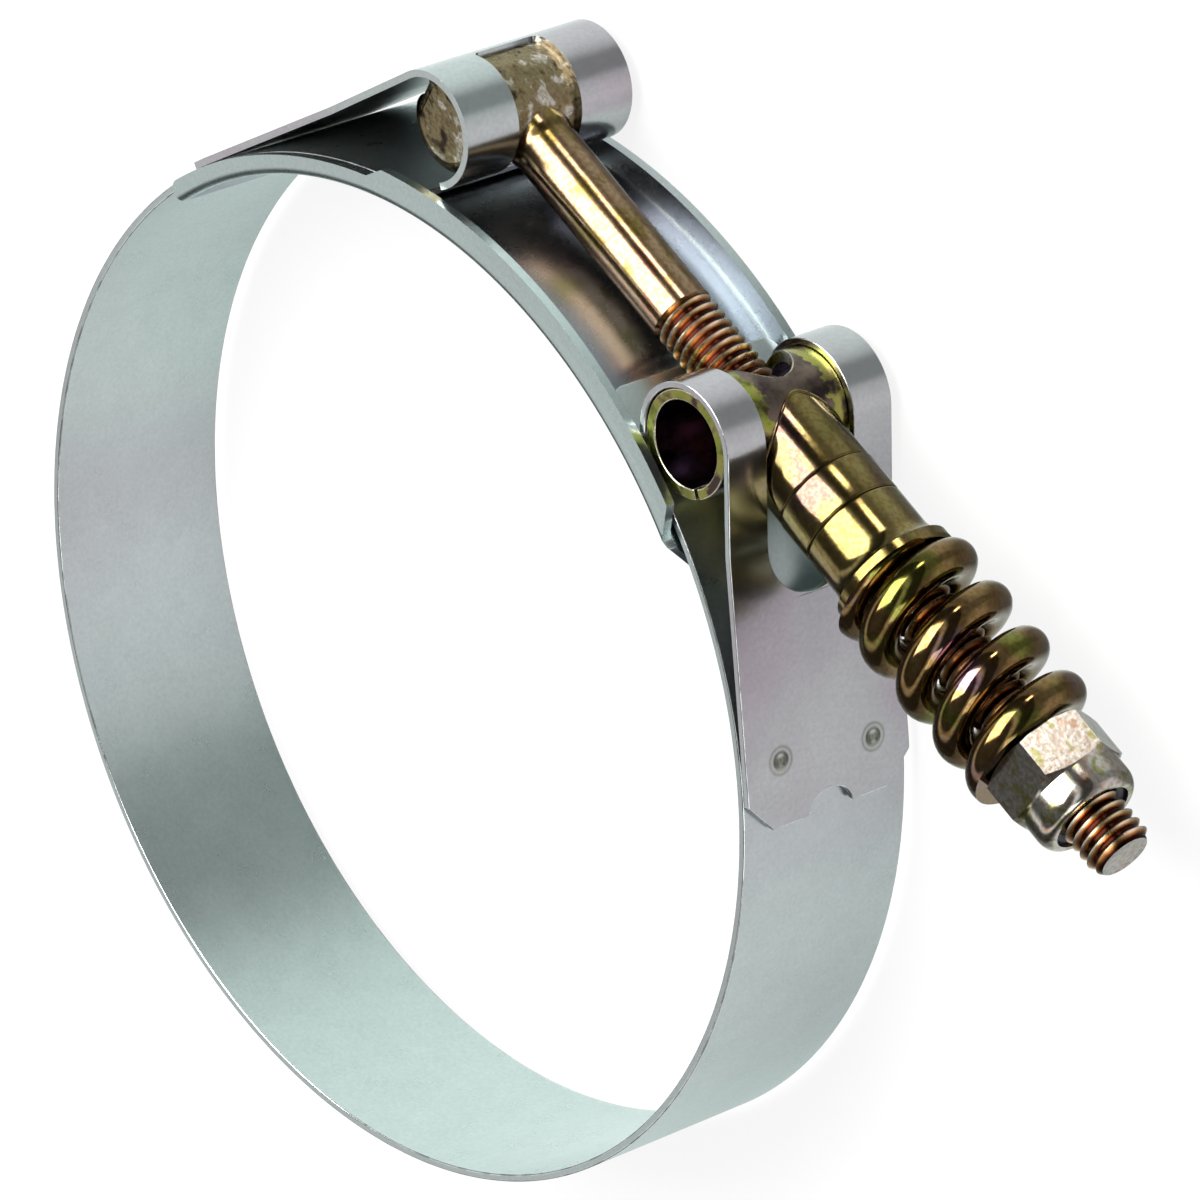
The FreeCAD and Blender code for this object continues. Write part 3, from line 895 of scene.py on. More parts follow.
@dataclass(frozen=True)
class SatinSteel:
    """Rolled stainless sheet with a fine grain and broad patches of two greys, and optionally,
    near the middle plane, a darker tint that is a painted dark reflection on a channel's floor.
    """

    name: str
    cool: Colour
    warm: Colour
    roughness: float
    split: tuple[float, float] = (0.4, 0.6)
    patch: float = 13.0
    middle: Colour = WHITE
    painted_shade_half: float = 0.0
    welds: tuple[tuple[float, float, float], ...] = ()
    weld_radius: float = 1.5 * MM

    def build(self) -> bpy.types.Material:
        """Makes the material.

        Returns:
            The new material.
        """
        nodes = Nodes(self.name)
        patches = nodes.noise(self.patch, 2.0)
        colour = nodes.ramp(patches, ((self.split[0], self.warm), (self.split[1], self.cool)))
        # Painted dark reflection: near the middle plane the sheet is multiplied by the middle
        # colour, fading back to its own colour towards the sides.
        if self.painted_shade_half:
            across = nodes.radius((0, 0, 0), (0, 0, 1))
            side = nodes.spread(across, 0.0, 1.0, self.painted_shade_half, self.painted_shade_half + 0.6 * MM)
            colour = nodes.times(
                colour, nodes.ramp(side, ((0.0, self.middle), (1.0, WHITE))))
        fine = nodes.noise(2600.0, 3.0)
        colour = nodes.times(colour, nodes.ramp(
            fine, ((0.3, grey(0.9)), (0.7, WHITE))))
        clouds = nodes.noise(330.0, 4.0)
        colour = nodes.times(colour, nodes.ramp(
            clouds, ((0.3, grey(0.93)), (0.7, WHITE))))
        height = nodes.bump(fine, 0.08, 0.03 * MM)
        scratches = nodes.noise(500.0, 2.0, (1.0, 1.0, 0.02))
        lines = nodes.ramp(scratches, ((0.56, BLACK), (0.7, WHITE)))
        height = nodes.bump(lines, 0.03, 0.02 * MM, height)
        roughness = nodes.spread(clouds, self.roughness - 0.01, self.roughness + 0.02)
        if self.welds:
            colour, height = self.welded(nodes, clouds, colour, height)
        nodes.set(Base_Color=colour, Metallic=1.0, Roughness=roughness, Normal=height)
        return nodes.material

    def welded(
        self, nodes: Nodes, clouds: Socket, colour: Socket, height: Socket
    ) -> tuple[Socket, Socket]:
        """Adds the round marks of the spot welds, each a ring round a pit.

        Args:
            nodes: The material so far.
            clouds: The noise that tints the marks.
            colour: The sheet's colour.
            height: The sheet's bump.
        Returns:
            The colour and the bump with the marks.
        """
        wide = nodes.total(*(nodes.near(Vector(w), self.weld_radius) for w in self.welds))
        shade = nodes.ramp(wide, (
            (0.0, BLACK), (0.16, grey(0.5)), (0.3, grey(0.08)),
            (0.5, grey(0.7)), (0.68, grey(0.15)), (0.9, grey(0.85)),
        ))
        tint = nodes.ramp(clouds, ((0.4, (0.1, 0.09, 0.03)), (0.6, (0.2, 0.19, 0.09))))
        pit = nodes.ramp(wide, (
            (0.0, grey(0.6)), (0.42, grey(0.6)), (0.55, WHITE), (0.8, BLACK),
        ))
        return nodes.mix(shade, colour, tint), nodes.bump(pit, 0.8, 0.15 * MM, height)


@dataclass(frozen=True)
class PaintedEdgeHighlight:
    """A painted highlight: a bright colour on the rounding along a sheet's cut edges."""

    name: str = "band_edge"
    tone: Colour = (0.86, 0.9, 0.9)

    def build(self) -> bpy.types.Material:
        """Makes the material.

        Returns:
            The new material.
        """
        nodes = Nodes(self.name)
        dull = tuple(0.62 * part for part in self.tone)
        colour = nodes.ramp(nodes.noise(500.0, 3.0), ((0.38, dull), (0.52, self.tone)))
        nodes.set(Base_Color=colour, Metallic=1.0, Roughness=0.22)
        return nodes.material


@dataclass(frozen=True)
class YellowZinc:
    """Chromated zinc plating whose tint drifts between straw, olive and violet."""

    name: str
    straw: Colour
    olive: Colour
    violet: Colour
    roughness: float
    scale: float
    rough_cast: float = 0.0

    def build(self) -> bpy.types.Material:
        """Makes the material.

        Returns:
            The new material.
        """
        nodes = Nodes(self.name)
        clouds = nodes.noise(self.scale, 5.0, (0.6, 1, 1))
        colour = nodes.ramp(clouds, (
            (0.34, self.violet), (0.43, self.straw), (0.54, self.straw), (0.62, self.olive),
        ))
        fine = nodes.noise(2400.0, 4.0)
        colour = nodes.times(colour, nodes.ramp(
            fine, ((0.38, (0.78, 0.68, 0.6)), (0.58, WHITE))))
        height = nodes.bump(fine, 0.1, 0.03 * MM)
        if self.rough_cast:
            height = nodes.bump(nodes.noise(1100.0, 5.0), self.rough_cast, 0.4 * MM, height)
        roughness = nodes.spread(clouds, self.roughness, self.roughness + 0.06)
        nodes.set(Base_Color=colour, Metallic=1.0, Roughness=roughness, Normal=height)
        return nodes.material


@dataclass(frozen=True)
class ThreadZinc:
    """Plating on the thread: dark red-brown in the roots, bright on the crests; the dark roots
    are painted shade and the bright crests a painted highlight.
    """

    height: float
    root: float
    crest: float
    name: str = "thread_zinc"

    def build(self) -> bpy.types.Material:
        """Makes the material.

        Returns:
            The new material.
        """
        nodes = Nodes(self.name)
        radius = nodes.radius((0, self.height, 0), (0, 1, 1))
        share = nodes.spread(radius, 0.0, 1.0, self.root, self.crest)
        # Painted shade and highlight by distance from the axis: near-black in the roots, pale on
        # the crests.
        colour = nodes.ramp(share, (
            (0.0, (0.03, 0.008, 0.006)), (0.3, (0.36, 0.12, 0.035)),
            (0.6, (0.8, 0.44, 0.17)), (0.82, (0.95, 0.84, 0.7)),
        ))
        tints = nodes.noise(420.0, 3.0)
        colour = nodes.times(colour, nodes.ramp(
            tints, ((0.35, (0.6, 0.62, 0.5)), (0.6, WHITE))))
        roughness = nodes.spread(tints, 0.2, 0.34)
        nodes.set(Base_Color=colour, Metallic=1.0, Roughness=roughness,
                  Normal=nodes.bump(nodes.noise(2400.0), 0.1, 0.03 * MM))
        return nodes.material


@dataclass(frozen=True)
class TubeZinc:
    """Plating on the rolled tube: yellow-green outside, with painted shade that makes it dark
    round the spout and the bolt's mouth, and dull violet-black inside.
    """

    x: float
    height: float
    inner: float
    name: str = "barrel_zinc"

    def build(self) -> bpy.types.Material:
        """Makes the material.

        Returns:
            The new material.
        """
        nodes = Nodes(self.name)
        radius = nodes.radius((self.x, self.height, 0), (1, 1, 0))
        share = nodes.spread(radius, 0.0, 1.0, self.inner, self.inner + 0.12 * MM)
        clouds = nodes.noise(380.0, 4.0)
        outside = nodes.ramp(clouds, (
            (0.36, (0.07, 0.045, 0.04)), (0.46, (0.36, 0.32, 0.1)), (0.56, (0.3, 0.33, 0.06)),
            (0.66, (0.09, 0.07, 0.03)),
        ))
        # Painted shade: in the middle of the barrel's length, round the spout and the bolt's
        # mouth, the outside takes a dark dull colour, with a ragged edge.
        across = nodes.radius((0, 0, 0), (0, 0, 1))
        painted_light = nodes.total(nodes.spread(across, 0.0, 1.0, 2.6 * MM, 4.4 * MM),
                           nodes.spread(nodes.noise(900.0, 3.0), -0.3, 0.3))
        dull = nodes.ramp(clouds, ((0.4, (0.05, 0.035, 0.035)), (0.62, (0.2, 0.15, 0.12))))
        outside = nodes.mix(nodes.ramp(painted_light, ((0.42, BLACK), (0.52, WHITE))),
                            dull, outside)
        # Painted shade: the inside of the tube is near-black violet.
        inside = nodes.ramp(clouds, ((0.4, (0.02, 0.01, 0.022)), (0.65, (0.07, 0.03, 0.07))))
        colour = nodes.mix(share, inside, outside)
        nodes.set(Base_Color=colour, Metallic=1.0,
                  Roughness=nodes.spread(clouds, 0.18, 0.34),
                  Normal=nodes.bump(nodes.noise(2000.0), 0.1, 0.03 * MM))
        return nodes.material


@dataclass(frozen=True)
class DarkPlastic:
    """The nylon ring in the nut."""

    name: str = "dark_nylon"

    def build(self) -> bpy.types.Material:
        """Makes the material.

        Returns:
            The new material.
        """
        nodes = Nodes(self.name)
        colour = nodes.ramp(nodes.noise(700.0), ((0.4, (0.012, 0.01, 0.018)),
                                                 (0.65, (0.04, 0.03, 0.05))))
        nodes.set(Base_Color=colour, Roughness=0.38)
        return nodes.material


def dress(
    obj: bpy.types.Object, material: bpy.types.Material, slot: Slot, body: Body, *nodes: str
) -> None:
    """Gives a finished piece its material, its body and the CAD nodes it stands for.

    Args:
        obj: The piece.
        material: Its material.
        slot: Its slot in the record. Not used.
        body: The body it rides on.
        *nodes: CAD nodes that it replaces.
    """
    obj.data.materials.append(material)
    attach(obj, body.value)
    if nodes:
        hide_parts(*nodes)


# Sub-assemblies


@dataclass
class Ring:
    """The band and the bridge inside it."""

    sizes: RingSizes = field(default_factory=RingSizes)
    edge: float = 0.14 * MM
    # Width along each side of the bridge that the painted dark reflection leaves out.
    unshaded_side: float = 1.4 * MM

    def band(self) -> bpy.types.Object:
        """Builds the open band.

        Returns:
            The band.
        """
        s = self.sizes
        inner = s.outer_radius - s.thickness
        start, stop = s.end_bolt_side, s.end_nut_side + 360
        rounding = math.degrees(s.corner / s.outer_radius)
        angles = [start + rounding * n / 6 for n in range(6)]
        angles += [start + rounding + (stop - start - 2 * rounding) * n / 240 for n in range(241)]
        angles += [stop - rounding * n / 6 for n in range(5, -1, -1)]
        stations = []
        for angle in angles:
            gap = min(angle - start, stop - angle) / rounding
            depth = 1 - math.sqrt(max(0.0, 1 - (1 - min(gap, 1)) ** 2))
            half = s.width / 2 - s.corner * depth
            stations.append(Station(polar(inner, angle), polar(1, angle), half))
        return Strip(stations, s.thickness).build("band_dressed")

    def bridge_half(self, angle: float) -> float:
        """How far along its section the bridge's sheet reaches from the middle.

        Args:
            angle: Place round the ring in degrees.
        Returns:
            The distance.
        """
        s = self.sizes
        floor = s.bridge_side - s.bridge_bend
        bent = floor + s.bridge_bend * math.pi / 2
        base = s.bridge_inner + s.bridge_bend
        shoulder = math.degrees(s.tongue_shoulder / s.bridge_inner)
        if angle <= s.bridge_end:
            ending = math.radians(angle - s.tongue_end) * s.bridge_inner
            if ending < s.tongue_corner:
                missing = s.tongue_corner - ending
                arc = math.sqrt(max(0.0, s.tongue_corner**2 - missing**2))
                return s.tongue_half - s.tongue_corner + arc
            t = (angle - (s.bridge_end - shoulder)) / shoulder
            return s.tongue_half + max(0.0, t) * (floor - s.tongue_half)
        high = bent + s.flange_top - base
        low = bent + s.low_flange_top - base
        slanted = s.bridge_end + s.flange_end_slant
        if angle < slanted:
            t = (angle - s.bridge_end) / s.flange_end_slant
            return floor + t * (high - floor)
        if angle < s.flange_step - s.flange_step_slant:
            return high
        if angle < s.flange_step:
            t = (s.flange_step - angle) / s.flange_step_slant
            return low + t * (high - low)
        ending = math.radians(s.bridge_start - angle) * s.low_flange_top
        if ending < s.bridge_corner:
            missing = s.bridge_corner - ending
            arc = math.sqrt(max(0.0, s.bridge_corner**2 - missing**2))
            return low - s.bridge_corner + arc
        return low

    def bridge(self) -> bpy.types.Object:
        """Builds the bridge with its flanges and its tongue.

        Returns:
            The bridge.
        """
        s = self.sizes
        marks = {s.tongue_end, s.bridge_end, s.bridge_end + s.flange_end_slant,
                 s.bridge_end + 0.01, s.flange_step - s.flange_step_slant, s.flange_step,
                 s.bridge_start, s.bridge_end - math.degrees(s.tongue_shoulder / s.bridge_inner)}
        marks |= {s.tongue_end + 0.6 * n for n in range(8)}
        marks |= {s.bridge_start - 0.2 * n for n in range(8)}
        marks |= {s.tongue_end + (s.bridge_start - s.tongue_end) * n / 130 for n in range(131)}
        stations = [
            Station(polar(s.bridge_inner, a), polar(1, a), self.bridge_half(a))
            for a in sorted(marks)
        ]
        return Channel(
            stations, s.bridge_thickness, s.bridge_side, s.bridge_bend
        ).build("bridge_dressed")

    def build(self) -> None:
        """Makes and dresses the band and the bridge."""
        steel = SatinSteel("band_satin", (0.64, 0.74, 0.72), (0.56, 0.58, 0.59), 0.28,
                            (0.34, 0.55)).build()
        # Painted highlight: a bright colour on the rounded cut edges of the band and the bridge.
        painted_light = PaintedEdgeHighlight().build()
        band = self.band()
        band.data.materials.append(steel)
        band.data.materials.append(painted_light)
        bevel(band, self.edge)
        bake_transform(band)
        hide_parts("band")
        log.info("band built")
        bridge = self.bridge()
        # The bridge's floor between the flanges gets a darker, bluer tint: a painted dark
        # reflection. The sides keep the steel's own colour.
        shaded = SatinSteel("bridge_satin", (0.64, 0.75, 0.73), (0.5, 0.49, 0.51), 0.27,
                            (0.3, 0.5), middle=(0.46, 0.45, 0.53),
                            painted_shade_half=self.sizes.bridge_side - self.unshaded_side).build()
        dress(bridge, shaded, Slot.BAND, Body.BAND_SIDE, "bridge")
        bridge.data.materials.append(painted_light)
        bevel(bridge, self.edge)
        log.info("bridge built")


@dataclass
class Strap:
    """A strap that lies on the band and hooks round its pin."""

    name: str
    sizes: StrapSizes
    body: Body
    edge: float = 0.13 * MM

    def path(self) -> list[tuple[float, Vector, Vector]]:
        """The strap's inner face seen along Z, on the +X side.

        Returns:
            Distance along the path, point and outward normal for each station.
        """
        s = self.sizes
        pin = Vector((s.pin_x, s.pin_y))
        loop = s.pin_radius + s.pin_gap
        begin = polar(s.ring_inner, s.departure) + polar(s.straight, s.departure + 90)
        away = begin - pin
        lean = math.degrees(math.atan2(away.y, away.x) + math.acos(loop / away.length))
        one, two = polar(1, s.departure), polar(1, lean)
        offset = two.dot(pin) + loop
        turned = one.x * two.y - one.y * two.x
        corner = Vector((
            (s.ring_inner * two.y - offset * one.y) / turned,
            (offset * one.x - s.ring_inner * two.x) / turned,
        ))
        bend = s.bend + s.thickness
        half_turn = math.radians(s.departure - lean) / 2
        centre = corner + polar(bend / math.cos(half_turn), (s.departure + lean) / 2)
        reach = bend * math.tan(half_turn)
        ring_steps, straight_steps, bend_steps, hook_steps = 24, 60, 12, 140
        leaf_start = polar(s.ring_inner, s.departure)
        leaf_stop = corner + polar(reach, s.departure - 90)
        pieces: Run = [(polar(s.ring_inner, s.end), polar(1, s.end))]
        pieces += arc_run(Vector((0, 0)), s.ring_inner, s.end, s.departure, ring_steps)
        pieces += line_run(leaf_start, leaf_stop, one, straight_steps)
        pieces += arc_run(centre, -bend, s.departure, lean, bend_steps)
        pieces += line_run(pieces[-1][0], pin + polar(loop, lean), two, straight_steps)
        pieces += arc_run(pin, loop, lean, s.hook, hook_steps)
        out = []
        along = 0.0
        for n, (point, normal) in enumerate(pieces):
            if n:
                along += (point - pieces[n - 1][0]).length
            out.append((along, point, normal))
        return out

    def slot_start(self, path: list[tuple[float, Vector, Vector]]) -> tuple[float, float]:
        """Where the bolt's slot begins along the path and how its end is rounded.

        Args:
            path: The strap's path.
        Returns:
            The distance along the path and the radius of the slot's end.
        """
        s = self.sizes
        if s.slot_reach:
            leaf = math.radians(s.departure - s.end) * s.ring_inner
            return leaf + s.slot_reach - s.slot_half, s.slot_half
        rear = s.pin_x + s.slot_rear
        for along, point, normal in path:
            if point.y > s.pin_y and point.x + normal.x * s.thickness / 2 < rear:
                return along, s.slot_corner
        return path[-1][0], 0.0

    def stations(self) -> list[Station]:
        """The strap's stations with its chamfered end, its notch and its slot.

        Returns:
            The stations in order.
        """
        s = self.sizes
        path = self.path()
        begin, radius = self.slot_start(path)
        extra = [begin + radius * (1 - math.cos(math.pi / 2 * n / 10)) for n in range(11)]
        extra += [begin - 0.001 * MM, s.chamfer]
        extra += [s.notch_depth * (1 - (1 - n / 10) ** 2) for n in range(11)]
        stations = []
        for along, point, normal in self.refined(path, extra):
            half = s.half_width - max(0.0, s.chamfer - along)
            hole = 0.0
            out = s.notch_radius - s.notch_depth + along
            if along <= s.notch_depth and out < s.notch_radius:
                hole = math.sqrt(s.notch_radius**2 - out**2)
            if along >= begin:
                inside = min(along - begin, radius)
                hole = s.slot_half - radius
                hole += math.sqrt(max(0.0, radius**2 - (radius - inside) ** 2))
            flipped = Vector((s.side * point.x, point.y))
            outward = Vector((s.side * normal.x, normal.y))
            stations.append(Station(flipped, outward, half, hole))
        return stations

    @staticmethod
    def refined(
        path: list[tuple[float, Vector, Vector]], extra: Sequence[float]
    ) -> list[tuple[float, Vector, Vector]]:
        """Adds stations between those of a path.

        Args:
            path: The path.
            extra: Distances along it.
        Returns:
            The path with the extra stations in place.
        """
        out = list(path)
        for along in extra:
            for one, two in zip(path, path[1:]):
                if one[0] + 1e-8 < along < two[0] - 1e-8:
                    t = (along - one[0]) / (two[0] - one[0])
                    normal = one[2].lerp(two[2], t).normalized()
                    out.append((along, one[1].lerp(two[1], t), normal))
        return sorted(out, key=lambda item: item[0])

    def build(self) -> None:
        """Makes and dresses the strap."""
        s = self.sizes
        strap = Strip(self.stations(), s.thickness, rows=3).build(self.name + "_dressed")
        places = []
        for angle, z in s.welds:
            spot = polar(s.ring_inner + s.thickness, min(angle, s.departure))
            spot += polar(math.radians(max(0.0, angle - s.departure)) * s.ring_inner,
                          s.departure + 90)
            places.append((s.side * spot.x, spot.y, z))
        steel = SatinSteel(self.name + "_satin", (0.54, 0.59, 0.58), (0.52, 0.49, 0.52), 0.18,
                           patch=50.0, welds=tuple(places)).build()
        dress(strap, steel, Slot.STRAP, self.body, self.name)
        # Painted highlight: a bright colour on the strap's rounded cut edges.
        strap.data.materials.append(PaintedEdgeHighlight(self.name + "_edge").build())
        bevel(strap, self.edge)
        log.info("%s built", self.name)


@dataclass
class Bolt:
    """The T-bolt: a forged cross head, a neck and a threaded shank."""

    sizes: BoltSizes = field(default_factory=BoltSizes)

    def head(self) -> bpy.types.Object:
        """Builds the rough cross head.

        Returns:
            The head.
        """
        s = self.sizes
        mesh = bmesh.new()
        bmesh.ops.create_cone(mesh, cap_ends=True, segments=288, radius1=s.head_radius,
                              radius2=s.head_radius, depth=2 * s.head_half)
        back = bmesh.ops.bisect_plane(
            mesh, geom=mesh.verts[:] + mesh.edges[:] + mesh.faces[:],
            plane_co=(-s.head_back, 0, 0), plane_no=(-1, 0, 0), clear_outer=True,
        )
        edges = [e for e in back["geom_cut"] if isinstance(e, bmesh.types.BMEdge)]
        bmesh.ops.contextual_create(mesh, geom=edges)
        rims = [e for e in mesh.edges if all(abs(abs(v.co.z) - s.head_half) < 1e-6
                                             for v in e.verts)]
        bmesh.ops.bevel(mesh, geom=rims, offset=s.head_edge, offset_type="OFFSET", segments=6,
                        profile=0.5, affect="EDGES", material=-1)
        flat = [e for e in mesh.edges if all(abs(v.co.x + s.head_back) < 1e-6
                                             for v in e.verts)
                and abs(e.verts[0].co.z - e.verts[1].co.z) > s.head_half]
        bmesh.ops.bevel(mesh, geom=flat, offset=s.head_back_round, offset_type="OFFSET",
                        segments=4, profile=0.5, affect="EDGES", material=-1)
        bmesh.ops.translate(mesh, verts=mesh.verts, vec=(s.head_x, s.height, 0))
        return finish_mesh(mesh, "bolt_head_forged", 60)

    def shank(self) -> bpy.types.Object:
        """Builds the neck and the plain shank up to the thread.

        Returns:
            The shank.
        """
        s = self.sizes
        start = s.head_x + s.head_radius * 0.5
        neck = s.head_x + s.head_radius
        blend = neck - s.neck_lead
        profile: Profile = [(start, 0.0), (start, s.neck_radius), (blend, s.neck_radius)]
        for n in range(1, 9):
            t = n / 8
            ease = t * t * (3 - 2 * t)
            profile.append((blend + s.neck_length * t,
                            s.neck_radius + (s.radius - s.neck_radius) * ease))
        for n in range(1, 12):
            x = neck + s.neck_length + (s.thread_start - neck - s.neck_length) * n / 11
            profile.append((x, s.radius))
        stop = s.thread_start + s.thread_runout
        profile += [(stop, s.radius - s.thread_depth), (stop, 0.0)]
        return lathe("bolt_shank", profile, s.height, 72)

    def thread(self) -> bpy.types.Object:
        """Winds the rolled thread from the shank to the tip.

        Returns:
            The thread.
        """
        s = self.sizes
        crest, root = s.radius, s.radius - s.thread_depth
        shoulder = crest - s.thread_crest_round
        shape = ((0.0, root), (0.12, root), (0.45, shoulder), (0.5, crest),
                 (0.55, shoulder), (0.88, root))
        steps = 48
        start = s.thread_start - s.pitch
        count = math.ceil((s.tip - start) / s.pitch) + 2
        mesh = bmesh.new()
        points = [
            mesh.verts.new((start + (turn + share) * s.pitch, s.height + radius, 0))
            for turn in range(-1, count) for share, radius in shape
        ]
        edges = [mesh.edges.new(pair) for pair in zip(points, points[1:])]
        bmesh.ops.spin(mesh, geom=points + edges, cent=(0, s.height, 0), axis=(1, 0, 0),
                       dvec=(s.pitch / steps, 0, 0), angle=2 * math.pi, steps=steps)
        bmesh.ops.remove_doubles(mesh, verts=mesh.verts, dist=1e-6)
        begin = start + s.pitch / 2
        for place, way in ((begin, -1), (s.tip, 1)):
            bmesh.ops.bisect_plane(
                mesh, geom=mesh.verts[:] + mesh.edges[:] + mesh.faces[:],
                plane_co=(place, 0, 0), plane_no=(way, 0, 0), clear_outer=True,
            )
        chamfer = s.tip - s.tip_chamfer
        for vertex in mesh.verts:
            x = vertex.co.x
            away = Vector((0, vertex.co.y - s.height, vertex.co.z))
            radius = away.length
            grown = min(1.0, max(0.0, (x - begin) / s.pitch))
            radius = root + (radius - root) * grown
            if x > chamfer:
                radius = min(radius, crest - (x - chamfer) * s.tip_slope)
            vertex.co = Vector((x, s.height, 0)) + away.normalized() * radius
        return finish_mesh(mesh, "bolt_thread", 50)

    def tip(self) -> bpy.types.Object:
        """Builds the flat end face with its slightly raised rim.

        Returns:
            The tip.
        """
        s = self.sizes
        rim = s.radius - s.face_inset
        start, hollow = s.tip - s.face_depth, s.tip - s.face_hollow
        profile: Profile = [(start, 0.0), (start, rim), (s.tip, rim), (s.tip, rim - s.face_rim),
                            (hollow, rim - 2 * s.face_rim), (hollow, 0.0)]
        return lathe("bolt_tip_face", profile, s.height, 48)

    def build(self) -> None:
        """Makes and dresses the T-bolt."""
        s = self.sizes
        forged = YellowZinc("forged_zinc", (0.3, 0.25, 0.14), (0.66, 0.64, 0.56),
                            (0.05, 0.035, 0.025), 0.2, 760.0, 0.35).build()
        plated = YellowZinc("bolt_zinc", (0.31, 0.215, 0.13), (0.2, 0.15, 0.05),
                            (0.32, 0.17, 0.11), 0.15, 420.0).build()
        threads = ThreadZinc(s.height, s.radius - s.thread_depth, s.radius).build()
        face = YellowZinc("tip_zinc", (0.5, 0.48, 0.46), (0.42, 0.43, 0.36),
                          (0.42, 0.3, 0.26), 0.34, 500.0).build()
        dress(self.head(), forged, Slot.ZINC, Body.BOLT, "t_bolt")
        dress(self.shank(), plated, Slot.ZINC, Body.BOLT)
        dress(self.thread(), threads, Slot.ZINC, Body.BOLT)
        dress(self.tip(), face, Slot.ZINC, Body.BOLT)
        log.info("T-bolt built")


@dataclass
class Trunnion:
    """The rolled barrel with its spout, and the two loose sleeves behind it."""

    sizes: TrunnionSizes = field(default_factory=TrunnionSizes)
    edge: float = 0.14 * MM

    def barrel(self) -> bpy.types.Object:
        """Builds the rolled tube with its seam, the bolt's mouth and the spout's opening.

        Returns:
            The barrel.
        """
        s = self.sizes
        centre = Vector((s.x, s.height))
        inner = s.barrel_radius - s.barrel_wall
        gap = math.degrees(s.barrel_seam / 2 / s.barrel_radius)
        start = s.barrel_seam_angle + gap
        stop = s.barrel_seam_angle + 360 - gap
        stations = []
        for n in range(145):
            angle = start + (stop - start) * n / 144
            off = math.radians(angle - 180) * s.barrel_radius
            reach = s.mouth_reach if off > 0 else s.mouth_length
            hole = 0.0
            if abs(off) < reach:
                hole = s.mouth_radius * math.sqrt(1 - (off / reach) ** 2)
            off = math.radians(angle) * s.barrel_radius
            if abs(off) < s.mouth_reach:
                hole = s.mouth_radius * math.sqrt(1 - (off / s.mouth_reach) ** 2)
            stations.append(Station(polar(inner, angle, centre), polar(1, angle),
                                    s.barrel_half, hole))
        return Strip(stations, s.barrel_wall, rows=3).build("trunnion_barrel")

    def spout(self) -> bpy.types.Object:
        """Builds the spout that the bolt slides through.

        Returns:
            The spout.
        """
        s = self.sizes
        start = s.x + s.spout_root
        profile: Profile = [(start, s.bore), (start, s.spout_radius),
                            (s.spout_end, s.spout_radius), (s.spout_end, s.bore)]
        return lathe("trunnion_spout", rounded(profile, s.spout_round, (2,)), s.height)

    def saddle(self) -> bpy.types.Object:
        """Builds the thin bead where the spout meets the barrel.

        Returns:
            The bead.
        """
        s = self.sizes
        profile: Profile = []
        for n in range(10):
            around = 2 * math.pi * n / 10
            profile.append((s.bead_length * math.sin(around),
                            s.spout_radius + s.bead_height * math.cos(around)))
        bead = lathe("trunnion_saddle", profile, s.height, 120)
        for vertex in bead.data.vertices:
            away = vertex.co - Vector((vertex.co.x, s.height, 0))
            height = s.spout_radius * away.y / away.length
            vertex.co.x += s.x + math.sqrt(s.barrel_radius**2 - height**2)
        return bead

    def spacer(self) -> bpy.types.Object:
        """Builds the plain loose sleeve.

        Returns:
            The sleeve.
        """
        s = self.sizes
        start, stop = s.spacer
        profile: Profile = [(start, s.bore), (start, s.sleeve_radius),
                            (stop, s.sleeve_radius), (stop, s.bore)]
        return lathe("spacer_dressed", rounded(profile, s.sleeve_round, (1, 2)), s.height)

    def seat(self) -> bpy.types.Object:
        """Builds the flared seat that the spring stands on.

        Returns:
            The seat.
        """
        s = self.sizes
        start, stop = s.seat
        rim = stop - s.seat_rim_length
        profile: Profile = [(start, s.bore), (start, s.sleeve_radius),
                            (rim - s.seat_flare, s.sleeve_radius)]
        for n in range(1, 9):
            t = n / 8
            lift = 1 - math.cos(t * math.pi / 2)
            profile.append((rim - s.seat_flare * (1 - math.sin(t * math.pi / 2) ** 1.2),
                            s.sleeve_radius + (s.seat_rim - s.sleeve_radius) * lift))
        profile += [(stop - s.seat_rim_edge, s.seat_rim), (stop, s.seat_rim - s.seat_rim_edge),
                    (stop, s.bore)]
        return lathe("spring_seat_dressed", rounded(profile, s.sleeve_round, (1,)), s.height)

    def build(self) -> None:
        """Makes and dresses the trunnion and its sleeves."""
        s = self.sizes
        plated = YellowZinc("sleeve_zinc", (0.22, 0.175, 0.065), (0.16, 0.14, 0.04),
                            (0.17, 0.11, 0.09), 0.1, 150.0).build()
        ends = TubeZinc(s.x, s.height, s.barrel_radius - s.barrel_wall).build()
        barrel = self.barrel()
        dress(barrel, ends, Slot.ZINC, Body.TRUNNION, "trunnion")
        # Painted highlight: a bright colour on the barrel's rounded edges.
        barrel.data.materials.append(PaintedEdgeHighlight("barrel_edge", (0.8, 0.76, 0.56)).build())
        bevel(barrel, self.edge)
        dress(self.spout(), plated, Slot.ZINC, Body.TRUNNION)
        dress(self.saddle(), plated, Slot.ZINC, Body.TRUNNION)
        dress(self.spacer(), plated, Slot.ZINC, Body.TRUNNION, "spacer")
        dress(self.seat(), plated, Slot.ZINC, Body.TRUNNION, "spring_seat")
        log.info("trunnion and sleeves built")


